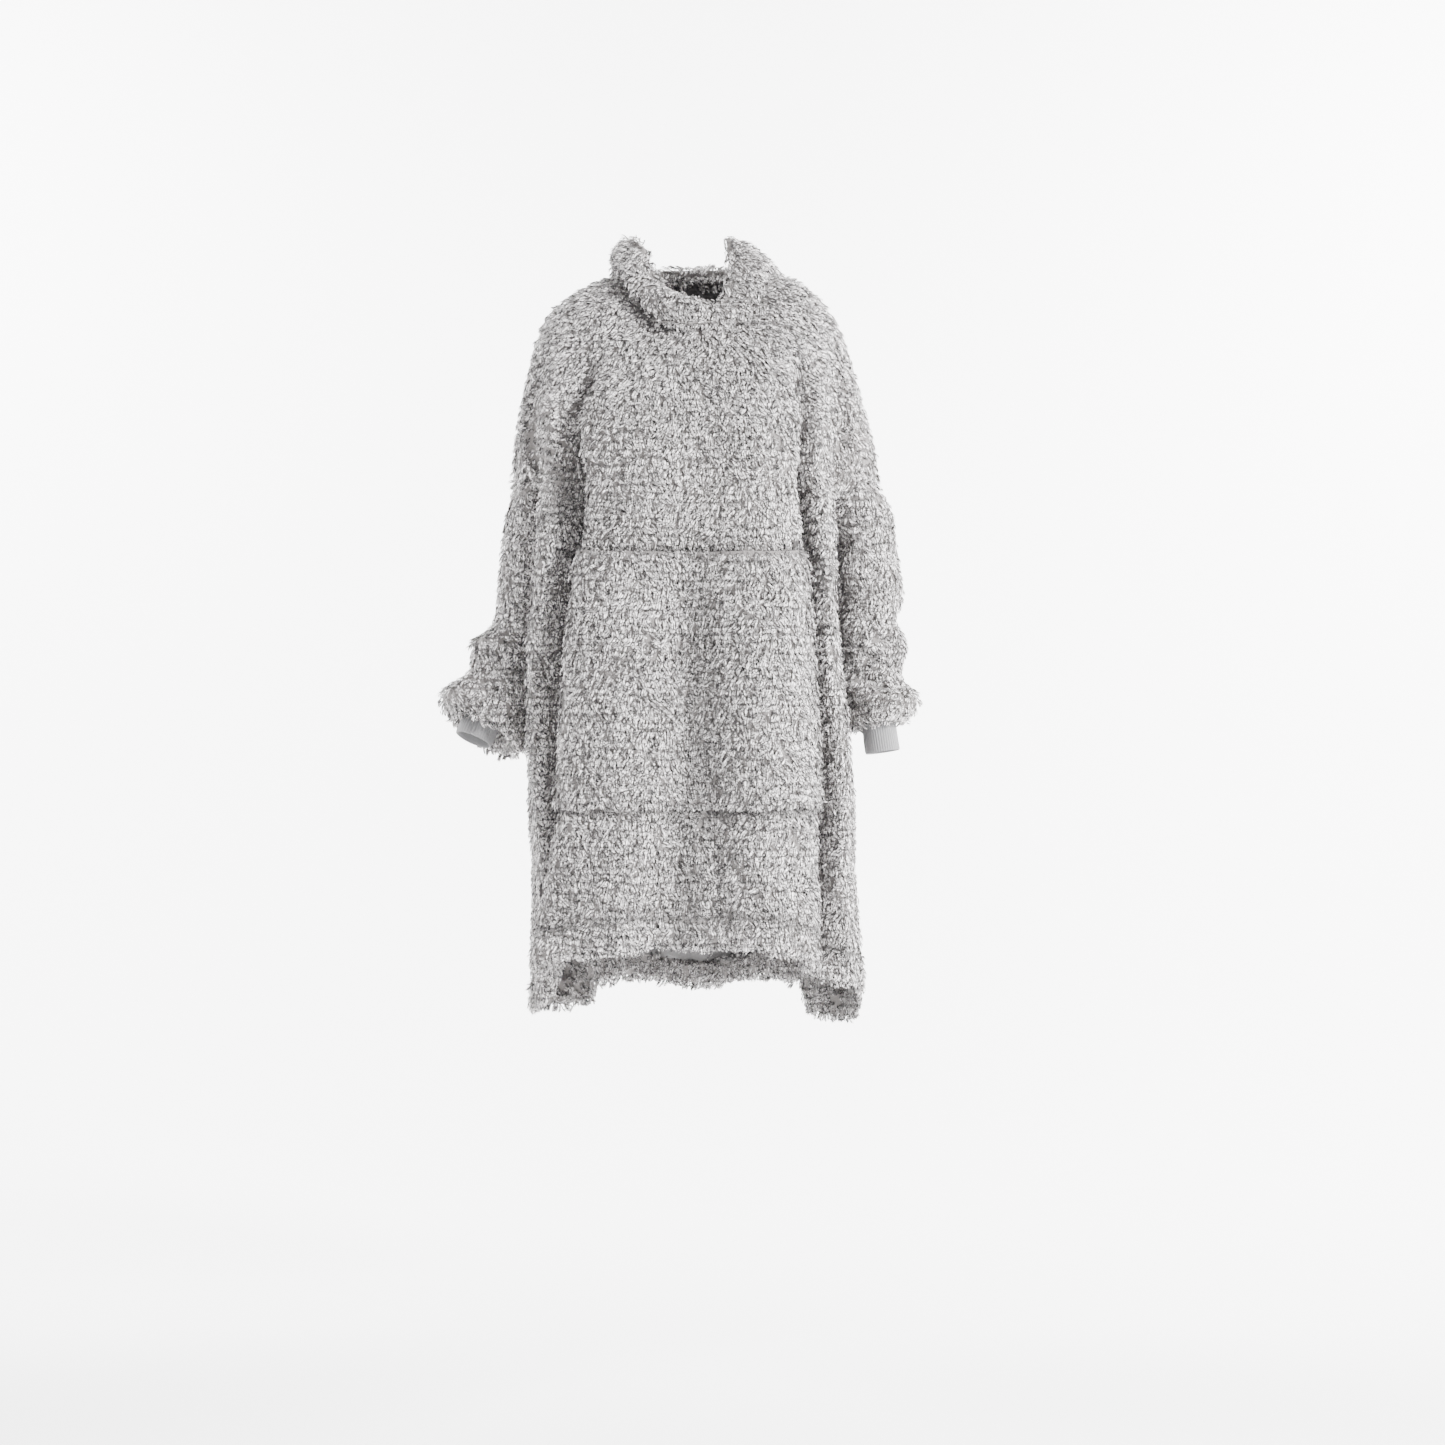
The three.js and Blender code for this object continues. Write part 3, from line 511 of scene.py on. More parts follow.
def clear_of(tree, point, gap):
    """True if nothing in the tree is nearer to the point than the gap."""
    return tree.find_nearest(point, gap)[0] is None


def point_tree(points):
    """A search tree over the points."""
    tree = KDTree(len(points))
    for i, point in enumerate(points):
        tree.insert(point, i)
    tree.balance()
    return tree


def coordinates(mesh, kind="co"):
    """The places of a mesh's points, or their normals, a row for each."""
    values = np.empty(len(mesh.vertices) * 3)
    mesh.vertices.foreach_get(kind, values)
    return values.reshape(-1, 3)


def bell(values, middle, width):
    """1 at the middle, falling to 0 on both sides."""
    return np.exp(-(((values - middle) / width) ** 2))


def smoothstep(low, high, value):
    """0 below low and 1 above high, with a soft rise between them."""
    t = np.clip((value - low) / (high - low), 0, 1)
    return t * t * (3 - 2 * t)


def keep_size(piece):
    """Moves the points of a cage out until its subdivided surface passes through where they were."""
    wanted = coordinates(piece.data)
    cage = wanted.copy()
    for _ in range(3):
        evaluated = piece.evaluated_get(bpy.context.evaluated_depsgraph_get())
        mesh = evaluated.to_mesh()
        cage += 0.9 * (wanted - coordinates(mesh)[: len(cage)])
        evaluated.to_mesh_clear()
        piece.data.vertices.foreach_set("co", cage.astype(np.float32).ravel())
        piece.data.update()
        bpy.context.view_layer.update()


def step_fold(points):
    """How far the middle of the front goes in: its valley becomes a step with one gentle and one steep side."""
    x, low = points[:, 0] * 1000, smoothstep(0.66, 0.84, -points[:, 2])
    above = 9 * bell(x, -75, 38) - 12 * bell(x, 2, 20) - 3 * bell(x, 34, 16)
    below = 12 * bell(x, -58, 24) - 20 * bell(x, 0, 22) - 6 * bell(x, 36, 20)
    return 0.001 * smoothstep(0.29, 0.48, -points[:, 2]) * (above * (1 - low) + below * low)


def creases(points, lines):
    """How far points go in, in metres, at creases given in millimetres."""
    flat = points[:, [0, 2]] * 1000
    deep = np.zeros(len(points))
    for x, z, x_end, z_end, width, depth in lines:
        start, run = np.array([x, z]), np.array([x_end - x, z_end - z])
        share = (flat - start) @ run / (run @ run)
        off = np.linalg.norm(flat - start - np.clip(share, 0, 1)[:, None] * run, axis=1)
        deep = np.maximum(deep, depth * bell(off, 0, width))
    return 0.001 * deep


def fine_folds(node, points):
    """The points of a shell with the folds that are narrower than the CAD's columns."""
    moved = points.copy()
    if node in ("front", "pocket"):
        moved[:, 1] += step_fold(points)
    if node in CREASES:
        facing = smoothstep(-0.05, 0.0, -points[:, 1]) if node.startswith("sleeve") else 1.0
        moved[:, 1] += creases(points, CREASES[node]) * facing
    if node == "sleeve_left":
        beside = smoothstep(0.3, 0.36, -points[:, 2]) * (1 - smoothstep(0.56, 0.66, -points[:, 2]))
        moved[:, 0] -= SLEEVE_SHIFT * beside * smoothstep(-0.255, -0.205, -points[:, 0])
    return moved


def refine(piece, node):
    """Gives a shell its subdivided surface as its own mesh, with the fine folds in it."""
    evaluated = piece.evaluated_get(bpy.context.evaluated_depsgraph_get())
    mesh = bpy.data.meshes.new_from_object(evaluated)
    piece.modifiers.clear()
    coarse, piece.data = piece.data, mesh
    bpy.data.meshes.remove(coarse)
    mesh.vertices.foreach_set("co", fine_folds(node, coordinates(mesh)).astype(np.float32).ravel())
    mesh.update()


def cloth_sides(bm, node):
    """The faces of a sheet's outer side, its inner side and its rim, and those of the rim that are free."""
    outward = FLEECE[node]["outward"]
    sides = face_regions(bm, math.radians(RIM_BEND))
    outer, inner = sorted(sides[:2], key=lambda side: -outward_score(side, outward))
    rim = [face for side in sides[2:] for face in side]
    others = node_tree([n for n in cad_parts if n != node])
    free = [f for f in rim if clear_of(others, f.calc_center_median(), FREE_GAP)]
    return outer, inner, rim, free


def turn_band_in(inner, free, band, sizes):
    """The turned band shows sherpa on the inner side too, further up at the hem's corners."""
    hem = band == "hem"
    reach = sizes.hem_band if hem else sizes.lip_band
    ends = [f.calc_center_median() for f in free]
    tree = point_tree([end for end in ends if not hem or end.z < -0.8])
    for face in inner:
        middle = face.calc_center_median()
        corner = HEM_CORNER["reach"] if hem and abs(middle.x) > HEM_CORNER["x"] else 0.0
        if tree.find(middle)[2] < reach + corner:
            face.material_index = BACKING


def crease_rims(bm, rim):
    """Creases that keep the corners at the rims."""
    crease = bm.edges.layers.float.new("crease_edge")
    rims = set(rim)
    for edge in bm.edges:
        kinds = [face in rims for face in edge.link_faces]
        if any(kinds) and not all(kinds):
            edge[crease] = 0.9


def draw_in(bm, outer, inner, free, backing):
    """The outer side goes in until the backing is left, and the free rims go back."""
    inner_tree = BVHTree.FromPolygons([v.co.copy() for v in bm.verts], [[v.index for v in f.verts] for f in inner])
    outer_faces, free_faces = set(outer), set(free)
    moves = {}
    for vert in {v for f in outer for v in f.verts}:
        normal = sum((f.normal * f.calc_area() for f in vert.link_faces if f in outer_faces), vert.normal * 0)
        normal.normalize()
        reached = inner_tree.ray_cast(vert.co - normal * 1e-5, -normal, 0.02)[3]
        near = inner_tree.find_nearest(vert.co)[3]
        depth = near if reached is None else min(reached, near * 1.3)
        moves[vert] = normal * -max(0.0, depth - backing)
    for vert in {v for f in free for v in f.verts}:
        normal = sum((f.normal for f in vert.link_faces if f in free_faces), vert.normal * 0).normalized()
        moves[vert] = moves.get(vert, normal * 0) - normal * EDGE_BACK
    for vert, move in moves.items():
        vert.co += move


def fleece_shell(node, sizes, colours):
    """The cloth of one CAD node without its pile: the outer side drawn in to the backing."""
    bm = bmesh.new()
    bm.from_mesh(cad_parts[node].data)
    bmesh.ops.remove_doubles(bm, verts=bm.verts, dist=1e-5)
    bmesh.ops.join_triangles(
        bm, faces=bm.faces, angle_face_threshold=math.radians(50), angle_shape_threshold=math.radians(70)
    )
    bm.normal_update()
    outer, inner, rim, free = cloth_sides(bm, node)
    for group, slot in ((outer, BACKING), (inner, REVERSE), (rim, SEAM), (free, EDGE)):
        for face in group:
            face.material_index = slot
    if FLEECE[node]["band"]:
        turn_band_in(inner, free, FLEECE[node]["band"], sizes)
    crease_rims(bm, rim)
    draw_in(bm, outer, inner, free, sizes.backing)
    for face in bm.faces:
        face.smooth = True
    mesh = bpy.data.meshes.new("cloth_" + node)
    bm.to_mesh(mesh)
    bm.free()
    ground = material_of("sherpa_ground", colours)
    for material in (ground, material_of("fleece_reverse", colours), ground, ground):
        mesh.materials.append(material)
    piece = new_piece("cloth_" + node, mesh)
    smooth = piece.modifiers.new("Smooth", "SUBSURF")
    smooth.levels = smooth.render_levels = 2 if node in FINER else 1
    keep_size(piece)
    if node in FINER:
        refine(piece, node)
    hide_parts(node)
    return piece


# ---------------------------------------------------------------- pile


def ripple(points, size, seed):
    """A smooth value near -1 to 1 at each point, with bumps of about that size in metres."""
    rng = np.random.default_rng(seed)
    total = np.zeros(len(points))
    for _ in range(7):
        direction = rng.normal(size=3)
        direction *= rng.uniform(0.7, 1.4) * TAU / size / np.linalg.norm(direction)
        total += np.sin(points @ direction + rng.uniform(0, TAU))
    return total / 3.2


def row_height(points):
    """The field whose level lines are the rows of curls: level on the body, sloping out over the shoulders."""
    out = np.hypot(points[:, 0], points[:, 1])
    shoulder = smoothstep(-0.3, -0.1, points[:, 2])
    wave = 0.0035 * ripple(points, 0.09, 3) + 0.0016 * ripple(points, 0.032, 4)
    return points[:, 2] - 0.8 * (out - 0.15) * shoulder + wave


def row_slope(points):
    """How the rows' field rises at each point."""
    step = 0.002
    base = row_height(points)
    return np.stack([(row_height(points + step * np.eye(3)[i]) - base) / step for i in range(3)], axis=1)


def painted_step_shade(points):
    """Where painted shade darkens the pile along the steep side of the step in the front, 0 to 1."""
    x, down = points[:, 0], -points[:, 2]
    middle = np.interp(down, [0.45, 0.64, 0.85], [0.002, -0.006, -0.02])
    return smoothstep(0.33, 0.48, down) * bell(x, middle, 0.024)


def unit(vectors):
    """The vectors at length 1."""
    return vectors / np.maximum(np.linalg.norm(vectors, axis=1, keepdims=True), 1e-9)


def surface_samples(mesh, slots, spacing, rng):
    """Random points on the faces of those material slots, with their normals."""
    mesh.calc_loop_triangles()
    count = len(mesh.loop_triangles)
    corners = np.empty(count * 3, np.int32)
    mesh.loop_triangles.foreach_get("vertices", corners)
    slot = np.empty(count, np.int32)
    mesh.loop_triangles.foreach_get("material_index", slot)
    co, normals = coordinates(mesh), coordinates(mesh, "normal")
    corners = corners.reshape(-1, 3)[np.isin(slot, slots)]
    a, b, c = (co[corners[:, i]] for i in range(3))
    area = np.linalg.norm(np.cross(b - a, c - a), axis=1) / 2
    total = int(area.sum() / spacing)
    if not total:
        return np.zeros((0, 3)), np.zeros((0, 3))
    pick = rng.choice(len(area), total, p=area / area.sum())
    u, v = rng.random(total), rng.random(total)
    flip = u + v > 1
    u, v = np.where(flip, 1 - u, u), np.where(flip, 1 - v, v)
    share = np.stack([1 - u - v, u, v], axis=1)
    points = sum(share[:, i, None] * (a, b, c)[i][pick] for i in range(3))
    facing = unit(sum(share[:, i, None] * normals[corners[pick, i]] for i in range(3)))
    return points, facing


def spread_out(points, radius, rng):
    """Indices of points that keep that radius from each other."""
    if not len(points):
        return np.zeros(0, int)
    tree = point_tree(points)
    free = np.ones(len(points), bool)
    kept = []
    for i in rng.permutation(len(points)):
        if free[i]:
            kept.append(i)
            for _, j, _ in tree.find_range(points[i], radius):
                free[j] = False
    return np.array(kept)


def open_above(points, normals, tree, reach):
    """How far each point is from what faces it from above, up to the reach."""
    far = np.full(len(points), reach)
    for i, (point, normal) in enumerate(zip(points, normals)):
        _, facing, _, distance = tree.ray_cast(point, normal, reach)
        if distance is not None and facing.dot(normal) < 0:
            far[i] = distance
    return far


def col(values):
    """The values as one column."""
    return values[:, None]


def strand_mesh(name, root, tip, normal, height, rise, bow, width, roll, tone, rng):
    """One mesh of bowed, tapering strands, each a narrow leaf from its root to its tip over the backing."""
    count = len(root)
    run = tip - root
    ahead = unit(run)
    across = unit(np.cross(normal, ahead))
    along = np.array([0.0, 0.36, 0.72, 1.0])
    girth = np.array([0.8, 1.0, 0.78])
    lift = np.array([0.0, 0.62, 1.0, 0.84])
    centres = []
    for t, h in zip(along, lift):
        side = bow * 4 * t * (1 - t)
        up = height * (rise + (1 - rise) * h)
        centres.append(root + run * t + across * col(side) + normal * col(up))
    edge = across * col(np.cos(roll)) + normal * col(np.sin(roll))
    columns = []
    for k in range(3):
        half = edge * col(width * girth[k] / 2)
        columns += [centres[k] - half, centres[k] + half]
    verts = np.stack([*columns, centres[3]], axis=1)
    first = (np.arange(count) * 7)[:, None]
    quads = (np.array([[1, 0, 2, 3, 3, 2, 4, 5]]) + first).ravel()
    tips = (np.array([[5, 4, 6]]) + first).ravel()
    loops = np.concatenate([quads, tips]).astype(np.int32)
    starts = np.concatenate([np.arange(count * 2) * 4, count * 8 + np.arange(count) * 3]).astype(np.int32)
    mesh = bpy.data.meshes.new(name)
    mesh.vertices.add(count * 7)
    mesh.vertices.foreach_set("co", verts.reshape(-1).astype(np.float32))
    mesh.loops.add(len(loops))
    mesh.loops.foreach_set("vertex_index", loops)
    mesh.polygons.add(count * 3)
    mesh.polygons.foreach_set("loop_start", starts)
    mesh.update(calc_edges=True)
    mesh.polygons.foreach_set("use_smooth", np.ones(count * 3, bool))
    spin = rng.integers(0, 60, count)
    u = (np.array([[0, 1, 0, 1, 0, 1, 0.5]]) + col(spin)).ravel()[loops]
    v = (np.array([[0, 0, 1, 1, 2, 2, 3]]) + col(spin * 0.37)).ravel()[loops]
    layer = mesh.uv_layers.new(name="UVMap")
    layer.data.foreach_set("uv", np.stack([u, v], axis=1).astype(np.float32).ravel())
    reach = np.array([[0, 0, 0.4, 0.4, 0.75, 0.75, 1.0]])
    strand = mesh.attributes.new("strand", "FLOAT", "POINT")
    strand.data.foreach_set("value", (col(0.5 * rise) + (1 - col(0.5 * rise)) * reach).ravel().astype(np.float32))
    shade = mesh.attributes.new("tone", "FLOAT", "POINT")
    shade.data.foreach_set("value", np.repeat(tone, 7).astype(np.float32))
    return mesh


def lay_of(points, normals):
    """The way the pile lies: down the rows' slope, turned in towards the middle line of each side column."""
    fall = -row_slope(points)
    column = smoothstep(0.15, 0.2, np.abs(points[:, 0])) * (1 - smoothstep(-0.4, -0.25, points[:, 2]))
    fall[:, 0] -= 0.9 * normals[:, 0] * column
    flat = fall - normals * np.sum(fall * normals, axis=1, keepdims=True)
    steep = np.linalg.norm(flat, axis=1)
    away = np.stack([points[:, 0], points[:, 1], np.zeros(len(points))], axis=1)
    away -= normals * np.sum(away * normals, axis=1, keepdims=True)
    weak = steep < 0.15
    flat[weak] = away[weak]
    return unit(flat), steep


def edge_distance(points, edges):
    """How far each point is from the nearest of the edge's points."""
    tree = point_tree(edges)
    return np.array([tree.find(point)[2] for point in points])


def curl_strands(points, normals, heading, room, light, sizes, rng):
    """The strands of the curls: they start over the curl's cell and run together towards its raised end."""
    count, each = len(points), sizes.strands
    curl = np.repeat(np.arange(count), each)
    total = count * each
    lane = np.tile(np.linspace(-1, 1, each), count) + rng.normal(0, 0.12, total)
    start = rng.permuted(np.tile(np.linspace(-0.3, 0.5, each), (count, 1)), axis=1).ravel()
    side = np.cross(normals, heading)
    half, pitch = sizes.curl_width / 2, sizes.row_pitch
    swing = rng.normal(0, 0.0026, count)
    root = points[curl] + side[curl] * col(lane * half * 1.08) + heading[curl] * col(start * pitch)
    reach = pitch * rng.uniform(0.95, 1.3, count)[curl] + (1 - lane**2) * 0.0022 + rng.normal(0, 0.0012, total)
    sideways = lane * half * 0.75 + swing[curl] + rng.normal(0, 0.001, total)
    tip = points[curl] + side[curl] * col(sideways) + heading[curl] * col(reach)
    crown = sizes.pile_height * rng.uniform(0.7, 1.2, count)[curl] * (1 - 0.4 * np.clip(lane, -1, 1) ** 2)
    height = np.minimum(crown * rng.uniform(0.75, 1.2, total), room[curl] - 0.0008)
    rise = np.clip(0.05 + 0.6 * (start + 0.3) / 0.8, 0, 0.7)
    bow = swing[curl] * -0.25 + rng.normal(0, 0.0011, total)
    tone = np.clip(0.55 + 0.05 * rng.normal(size=count)[curl] + 0.28 * rng.normal(size=total), 0, 1)
    # Painted shade: each curl's tone is scaled by the share of light its pile keeps
    tone *= light[curl]
    width = sizes.strand_width * rng.uniform(0.75, 1.2, total)
    return root, tip, normals[curl], height, rise, bow, width, rng.normal(0, 0.35, total), tone


def edge_strands(edges, normals, sizes, rng):
    """Single strands that stand out from the free edges."""
    down, _ = lay_of(edges, normals)
    count = len(edges)
    angle = rng.normal(0, 0.9, count)
    across = np.cross(normals, down)
    down = down * np.cos(angle)[:, None] + across * np.sin(angle)[:, None]
    out = rng.uniform(0.0045, 0.0085, count)
    tip = edges + down * rng.uniform(0.003, 0.008, count)[:, None]
    rise = np.zeros(count)
    width = sizes.strand_width * rng.uniform(0.9, 1.3, count)
    tone = np.clip(0.55 + 0.2 * rng.normal(size=count), 0, 1)
    return edges, tip, normals, out, rise, rng.normal(0, 0.001, count), width, rng.normal(0, 0.8, count), tone


def pressed_down(node, points, edges, sizes):
    """How far the pile is pressed down along the lines of stitches, 0 to 1."""
    pressed = np.zeros(len(points))
    if FLEECE[node]["band"] == "hem":
        pressed = bell(edge_distance(points, edges) - sizes.hem_band, HEM_LINE_ABOVE, HEM_LINE_WIDTH)
    if node in ("front", "pocket"):
        within = (points[:, 0] > POCKET_REACH[0]) & (points[:, 0] < POCKET_REACH[1])
        for height in POCKET_EDGES:
            pressed = np.maximum(pressed, within * bell(points[:, 2], height, POCKET_LINE_WIDTH))
    return pressed


def painted_light_kept(node, points, normals, pressed):
    """The share of its tone that the pile keeps, as painted shade: less in the stitched grooves where it is pressed,
    in the creases, on the steep side of the front's step, and on the inner band of the back's hem.
    """
    # Painted shade in the sewn grooves, where the pile is pressed down along the stitches
    light = 1 - pressed
    # Painted shadow on the inner band of the back's hem, inside the garment under the front
    if node == "back":
        light[(normals[:, 1] < -0.2) & (points[:, 2] < -0.85)] *= 0.5
    # Painted shade in the creases
    if node in CREASES:
        light *= 1 - 55 * creases(points, CREASES[node]) * smoothstep(-0.04, 0.02, -points[:, 1])
    # Painted shade on the steep side of the front's step
    if node in ("front", "pocket"):
        light *= 1 - 0.75 * painted_step_shade(points)
    return light


def fleece_pile(shell, node, sizes, colours):
    """The pile of one sheet: curls in rows over its sherpa side, and single strands on its free edges."""
    facts = FLEECE[node]
    rng = np.random.default_rng(facts["seed"])
    evaluated = shell.evaluated_get(bpy.context.evaluated_depsgraph_get())
    mesh = evaluated.to_mesh()
    points, normals = surface_samples(mesh, (BACKING,), SHEET_SAMPLE, rng)
    edges, edge_normals = surface_samples(mesh, (EDGE,), EDGE_SAMPLE, rng)
    evaluated.to_mesh_clear()

    # Curls move down the slope to the nearest row
    heading, steep = lay_of(points, normals)
    pitch = sizes.row_pitch
    field = row_height(points)
    row = np.round(field / pitch)
    shift = np.where(steep > 0.45, (field - row * pitch) / np.maximum(steep, 0.45), 0)
    points = points + heading * np.clip(shift, -0.006, 0.006)[:, None]
    kept = spread_out(points + normals * 0.004, facts["apart"] * sizes.curl_width, rng)
    points, normals, heading = points[kept], normals[kept], heading[kept]

    # Nothing grows where another sheet lies on this one
    others = node_tree([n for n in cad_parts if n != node])
    room = open_above(points + normals * 0.0004, normals, others, 0.012)
    open_sky = room > 0.0019
    if node == "front":
        open_sky &= open_above(points, normals, node_tree(["pocket"]), 0.03) > 0.029
    points, normals, heading, room = (values[open_sky] for values in (points, normals, heading, room))

    pressed = pressed_down(node, points, edges, sizes)
    light = painted_light_kept(node, points, normals, pressed)
    if node in ("front", "back", "pocket"):
        room = np.minimum(room, 0.0008 + sizes.pile_height * (1.3 - 1.15 * pressed))

    # Curls turn a little from their lay
    turn = 0.32 * ripple(points, 0.05, 8) + 0.2 * ripple(points, 0.02, 9) + rng.normal(0, 0.2, len(points))
    side = np.cross(normals, heading)
    heading = heading * np.cos(turn)[:, None] + side * np.sin(turn)[:, None]
    curls = curl_strands(points, normals, heading, room, light, sizes, rng)
    kept = spread_out(edges, EDGE_GAP, rng)
    singles = edge_strands(edges[kept], edge_normals[kept], sizes, rng)
    values = [np.concatenate(pair) for pair in zip(curls, singles)]

    groups = [("pile_" + node, np.ones(len(values[0]), bool))]
    if facts["band"] == "hem":
        low = values[0][:, 2] < -0.5
        groups = [("pile_" + node + "_upper", ~low), ("pile_" + node + "_lower", low)]
    made = []
    for name, part in groups:
        piece = new_piece(name, strand_mesh(name, *(v[part] for v in values), rng))
        piece.data.materials.append(material_of("sherpa_pile", colours))
        made.append(piece)
    return made


def make_fleece(context, node):
    """The cloth and the pile of one node."""
    sizes, colours = context.scene.blanket_sizes, context.scene.blanket_colours
    shell = fleece_shell(node, sizes, colours)
    pile = fleece_pile(shell, node, sizes, colours)


# ---------------------------------------------------------------- cuffs


def make_cuff(context, node):
    """One ribbed cuff: ribs on the outer side, a turned lower edge, a plain inner side."""
    sizes, colours = context.scene.blanket_sizes, context.scene.blanket_colours
    facts = CUFFS[node]
    side, lean, pitch = facts["side"], math.radians(facts["lean"]), math.radians(facts["pitch"])
    axis = np.array(
        [-side * math.sin(lean) * math.cos(pitch), math.sin(pitch), math.cos(lean) * math.cos(pitch)]
    )
    out = np.array([side * math.cos(lean), 0, math.sin(lean)])
    front = side * np.cross(out, axis)
    mouth = np.array([side * facts["x"], facts["y"], facts["z"]]) * 0.001
    knit = sizes.rib_knit
    profile = [(h, 0, 1) for h in np.linspace(1, 0.12, 11)] + CUFF_TURN + [(h, 1, 0) for h in np.linspace(0.12, 1, 6)]
    count = sizes.ribs * POINTS_PER_RIB
    angles = np.arange(count) * TAU / count
    furrow = (0.5 + 0.5 * np.cos(angles * sizes.ribs)) ** 1.6
    rings = []
    for h, inset, ribbed in profile:
        soft = 0.0004 * np.sin(2 * angles + 5 * h + side) + 0.0003 * np.sin(3 * angles - 7 * h)
        shrink = inset * knit + ribbed * sizes.rib_relief * furrow - soft
        centre = mouth + axis * (h * CUFF_LENGTH * 0.001)
        wide = (facts["width"] * 0.001 - shrink) * np.cos(angles)
        deep = (facts["depth"] * 0.001 - shrink) * np.sin(angles)
        rings.append(centre + out * col(wide) + front * col(deep))
    levels = len(rings)
    faces = []
    for k in range(levels):
        for i in range(count):
            j, n = (i + 1) % count, (k + 1) % levels
            face = (k * count + i, k * count + j, n * count + j, n * count + i)
            faces.append(face if side < 0 else face[::-1])
    mesh = bpy.data.meshes.new(node + "_rib")
    mesh.from_pydata(np.concatenate(rings).tolist(), [], faces)
    bm = bmesh.new()
    bm.from_mesh(mesh)
    bmesh.ops.recalc_face_normals(bm, faces=bm.faces)
    for face in bm.faces:
        face.smooth = True
    bm.to_mesh(mesh)
    bm.free()
    mesh.materials.append(material_of("cuff_knit", colours))
    piece = new_piece(node + "_rib", mesh)
    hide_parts(node)


# ---------------------------------------------------------------- studio


def make_stage(context):
    """A pale floor that sweeps up behind the object, soft lights and the photograph's camera."""
    scene = context.scene
    profile = [(-7.0, 0.0), (1.6, 0.0)]
    profile += [(1.6 + 1.2 * math.sin(a), 1.2 - 1.2 * math.cos(a)) for a in np.linspace(0, math.pi / 2, 13)[1:]]
    profile.append((2.8, 6.0))
    points = [(x, y, FLOOR_HEIGHT + z) for y, z in profile for x in (-7.0, 7.0)]
    faces = [(2 * i, 2 * i + 1, 2 * i + 3, 2 * i + 2) for i in range(len(profile) - 1)]
    mesh = bpy.data.meshes.new("studio_floor")
    mesh.from_pydata(points, [], faces)
    mesh.polygons.foreach_set("use_smooth", [True] * len(faces))
    stage = bpy.data.objects.new("studio_floor", mesh)
    scene.collection.objects.link(stage)
    material = bpy.data.materials.new("studio_floor")
    material.use_nodes = True
    shader = material.node_tree.nodes["Principled BSDF"]
    shader.inputs["Base Color"].default_value = rgba(scene.blanket_colours.floor)
    shader.inputs["Roughness"].default_value = 0.9
    shader.inputs["Emission Color"].default_value = (1, 1, 1, 1)
    shader.inputs["Emission Strength"].default_value = FLOOR_GLOW
    mesh.materials.append(material)

    for name, place, aim, size, power in LIGHTS:
        data = bpy.data.lights.new(name, "AREA")
        data.size = size
        data.energy = power
        light = bpy.data.objects.new(name, data)
        scene.collection.objects.link(light)
        light.location = place
        direction = Vector(aim) - Vector(place)
        light.rotation_euler = direction.to_track_quat("-Z", "Y").to_euler()

    world = bpy.data.worlds.new("studio")
    world.use_nodes = True
    sky = world.node_tree.nodes["Background"]
    sky.inputs["Color"].default_value = (1, 1, 1, 1)
    sky.inputs["Strength"].default_value = SKY_GLOW
    scene.world = world

    lens = bpy.data.cameras.new("photo_camera")
    lens.lens = CAMERA_LENS
    lens.sensor_width = SENSOR_WIDTH
    camera = bpy.data.objects.new("photo_camera", lens)
    scene.collection.objects.link(camera)
    camera.location = CAMERA_PLACE
    camera.rotation_euler = (math.pi / 2, 0, 0)
    scene.camera = camera


# ---------------------------------------------------------------- operators


class BLANKET_OT_panels(bpy.types.Operator):
    """Build the front and back panels with their pile"""

    bl_idname = "blanket.panels"
    bl_label = "Front and Back"

    def execute(self, context):
        make_fleece(context, "front")
        make_fleece(context, "back")
        return {"FINISHED"}


class BLANKET_OT_pocket(bpy.types.Operator):
    """Build the kangaroo pocket with its pile"""

    bl_idname = "blanket.pocket"
    bl_label = "Pocket"

    def execute(self, context):
        make_fleece(context, "pocket")
        return {"FINISHED"}


class BLANKET_OT_sleeves(bpy.types.Operator):
    """Build the two gathered sleeves with their pile"""

    bl_idname = "blanket.sleeves"
    bl_label = "Sleeves"

    def execute(self, context):
        make_fleece(context, "sleeve_left")
        make_fleece(context, "sleeve_right")
        return {"FINISHED"}


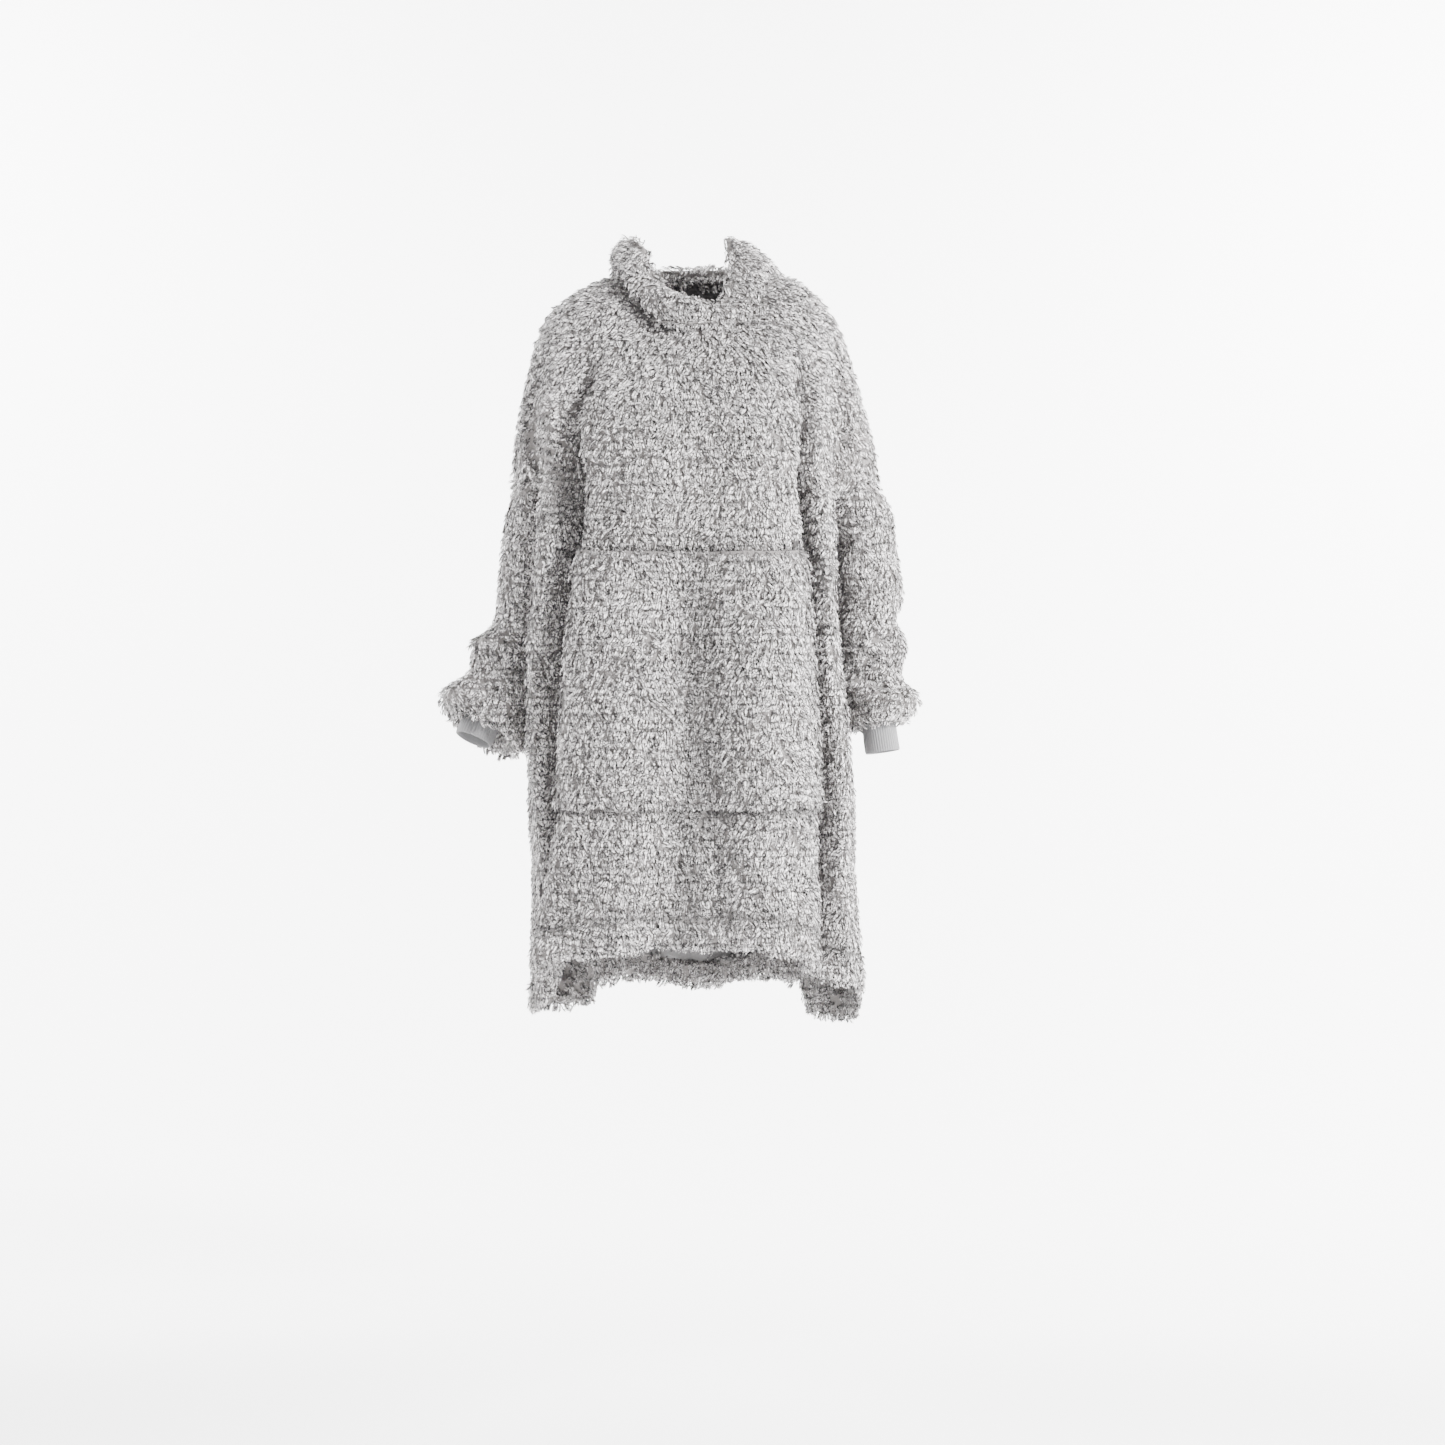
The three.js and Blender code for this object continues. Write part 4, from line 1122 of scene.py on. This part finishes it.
class BLANKET_OT_hood(bpy.types.Operator):
    """Build the two halves of the hood with their pile"""

    bl_idname = "blanket.hood"
    bl_label = "Hood"

    def execute(self, context):
        make_fleece(context, "hood_left")
        make_fleece(context, "hood_right")
        return {"FINISHED"}


class BLANKET_OT_cuffs(bpy.types.Operator):
    """Build the two ribbed cuffs"""

    bl_idname = "blanket.cuffs"
    bl_label = "Cuffs"

    def execute(self, context):
        make_cuff(context, "cuff_left")
        make_cuff(context, "cuff_right")
        return {"FINISHED"}


class BLANKET_OT_stage(bpy.types.Operator):
    """Build the pale floor, the soft lights and the camera"""

    bl_idname = "blanket.stage"
    bl_label = "Studio"

    def execute(self, context):
        make_stage(context)
        return {"FINISHED"}


class BLANKET_PT_build(bpy.types.Panel):
    """Lists the steps and the settings of the wearable blanket"""

    bl_label = "Wearable Blanket"
    bl_idname = "BLANKET_PT_build"
    bl_space_type = "VIEW_3D"
    bl_region_type = "UI"
    bl_category = "Blanket"

    def draw(self, context):
        layout = self.layout
        for operator in OPERATORS:
            layout.operator(operator.bl_idname)
        for settings in (context.scene.blanket_sizes, context.scene.blanket_colours):
            box = layout.box()
            for name in settings.__annotations__:
                box.prop(settings, name)


OPERATORS = (
    BLANKET_OT_panels,
    BLANKET_OT_pocket,
    BLANKET_OT_sleeves,
    BLANKET_OT_hood,
    BLANKET_OT_cuffs,
    BLANKET_OT_stage,
)
CLASSES = (BlanketSizes, BlanketColours, *OPERATORS, BLANKET_PT_build)


def register():
    """Registers the classes and their settings."""
    for cls in CLASSES:
        bpy.utils.register_class(cls)
    bpy.types.Scene.blanket_sizes = PointerProperty(type=BlanketSizes)
    bpy.types.Scene.blanket_colours = PointerProperty(type=BlanketColours)


def unregister():
    """Takes the settings and the classes away again."""
    del bpy.types.Scene.blanket_colours
    del bpy.types.Scene.blanket_sizes
    for cls in reversed(CLASSES):
        bpy.utils.unregister_class(cls)


def main():
    """Builds every piece."""
    register()
    bpy.ops.blanket.panels()
    bpy.ops.blanket.pocket()
    bpy.ops.blanket.sleeves()
    bpy.ops.blanket.hood()
    bpy.ops.blanket.cuffs()
    bpy.ops.blanket.stage()


if __name__ == "__main__":
    main()
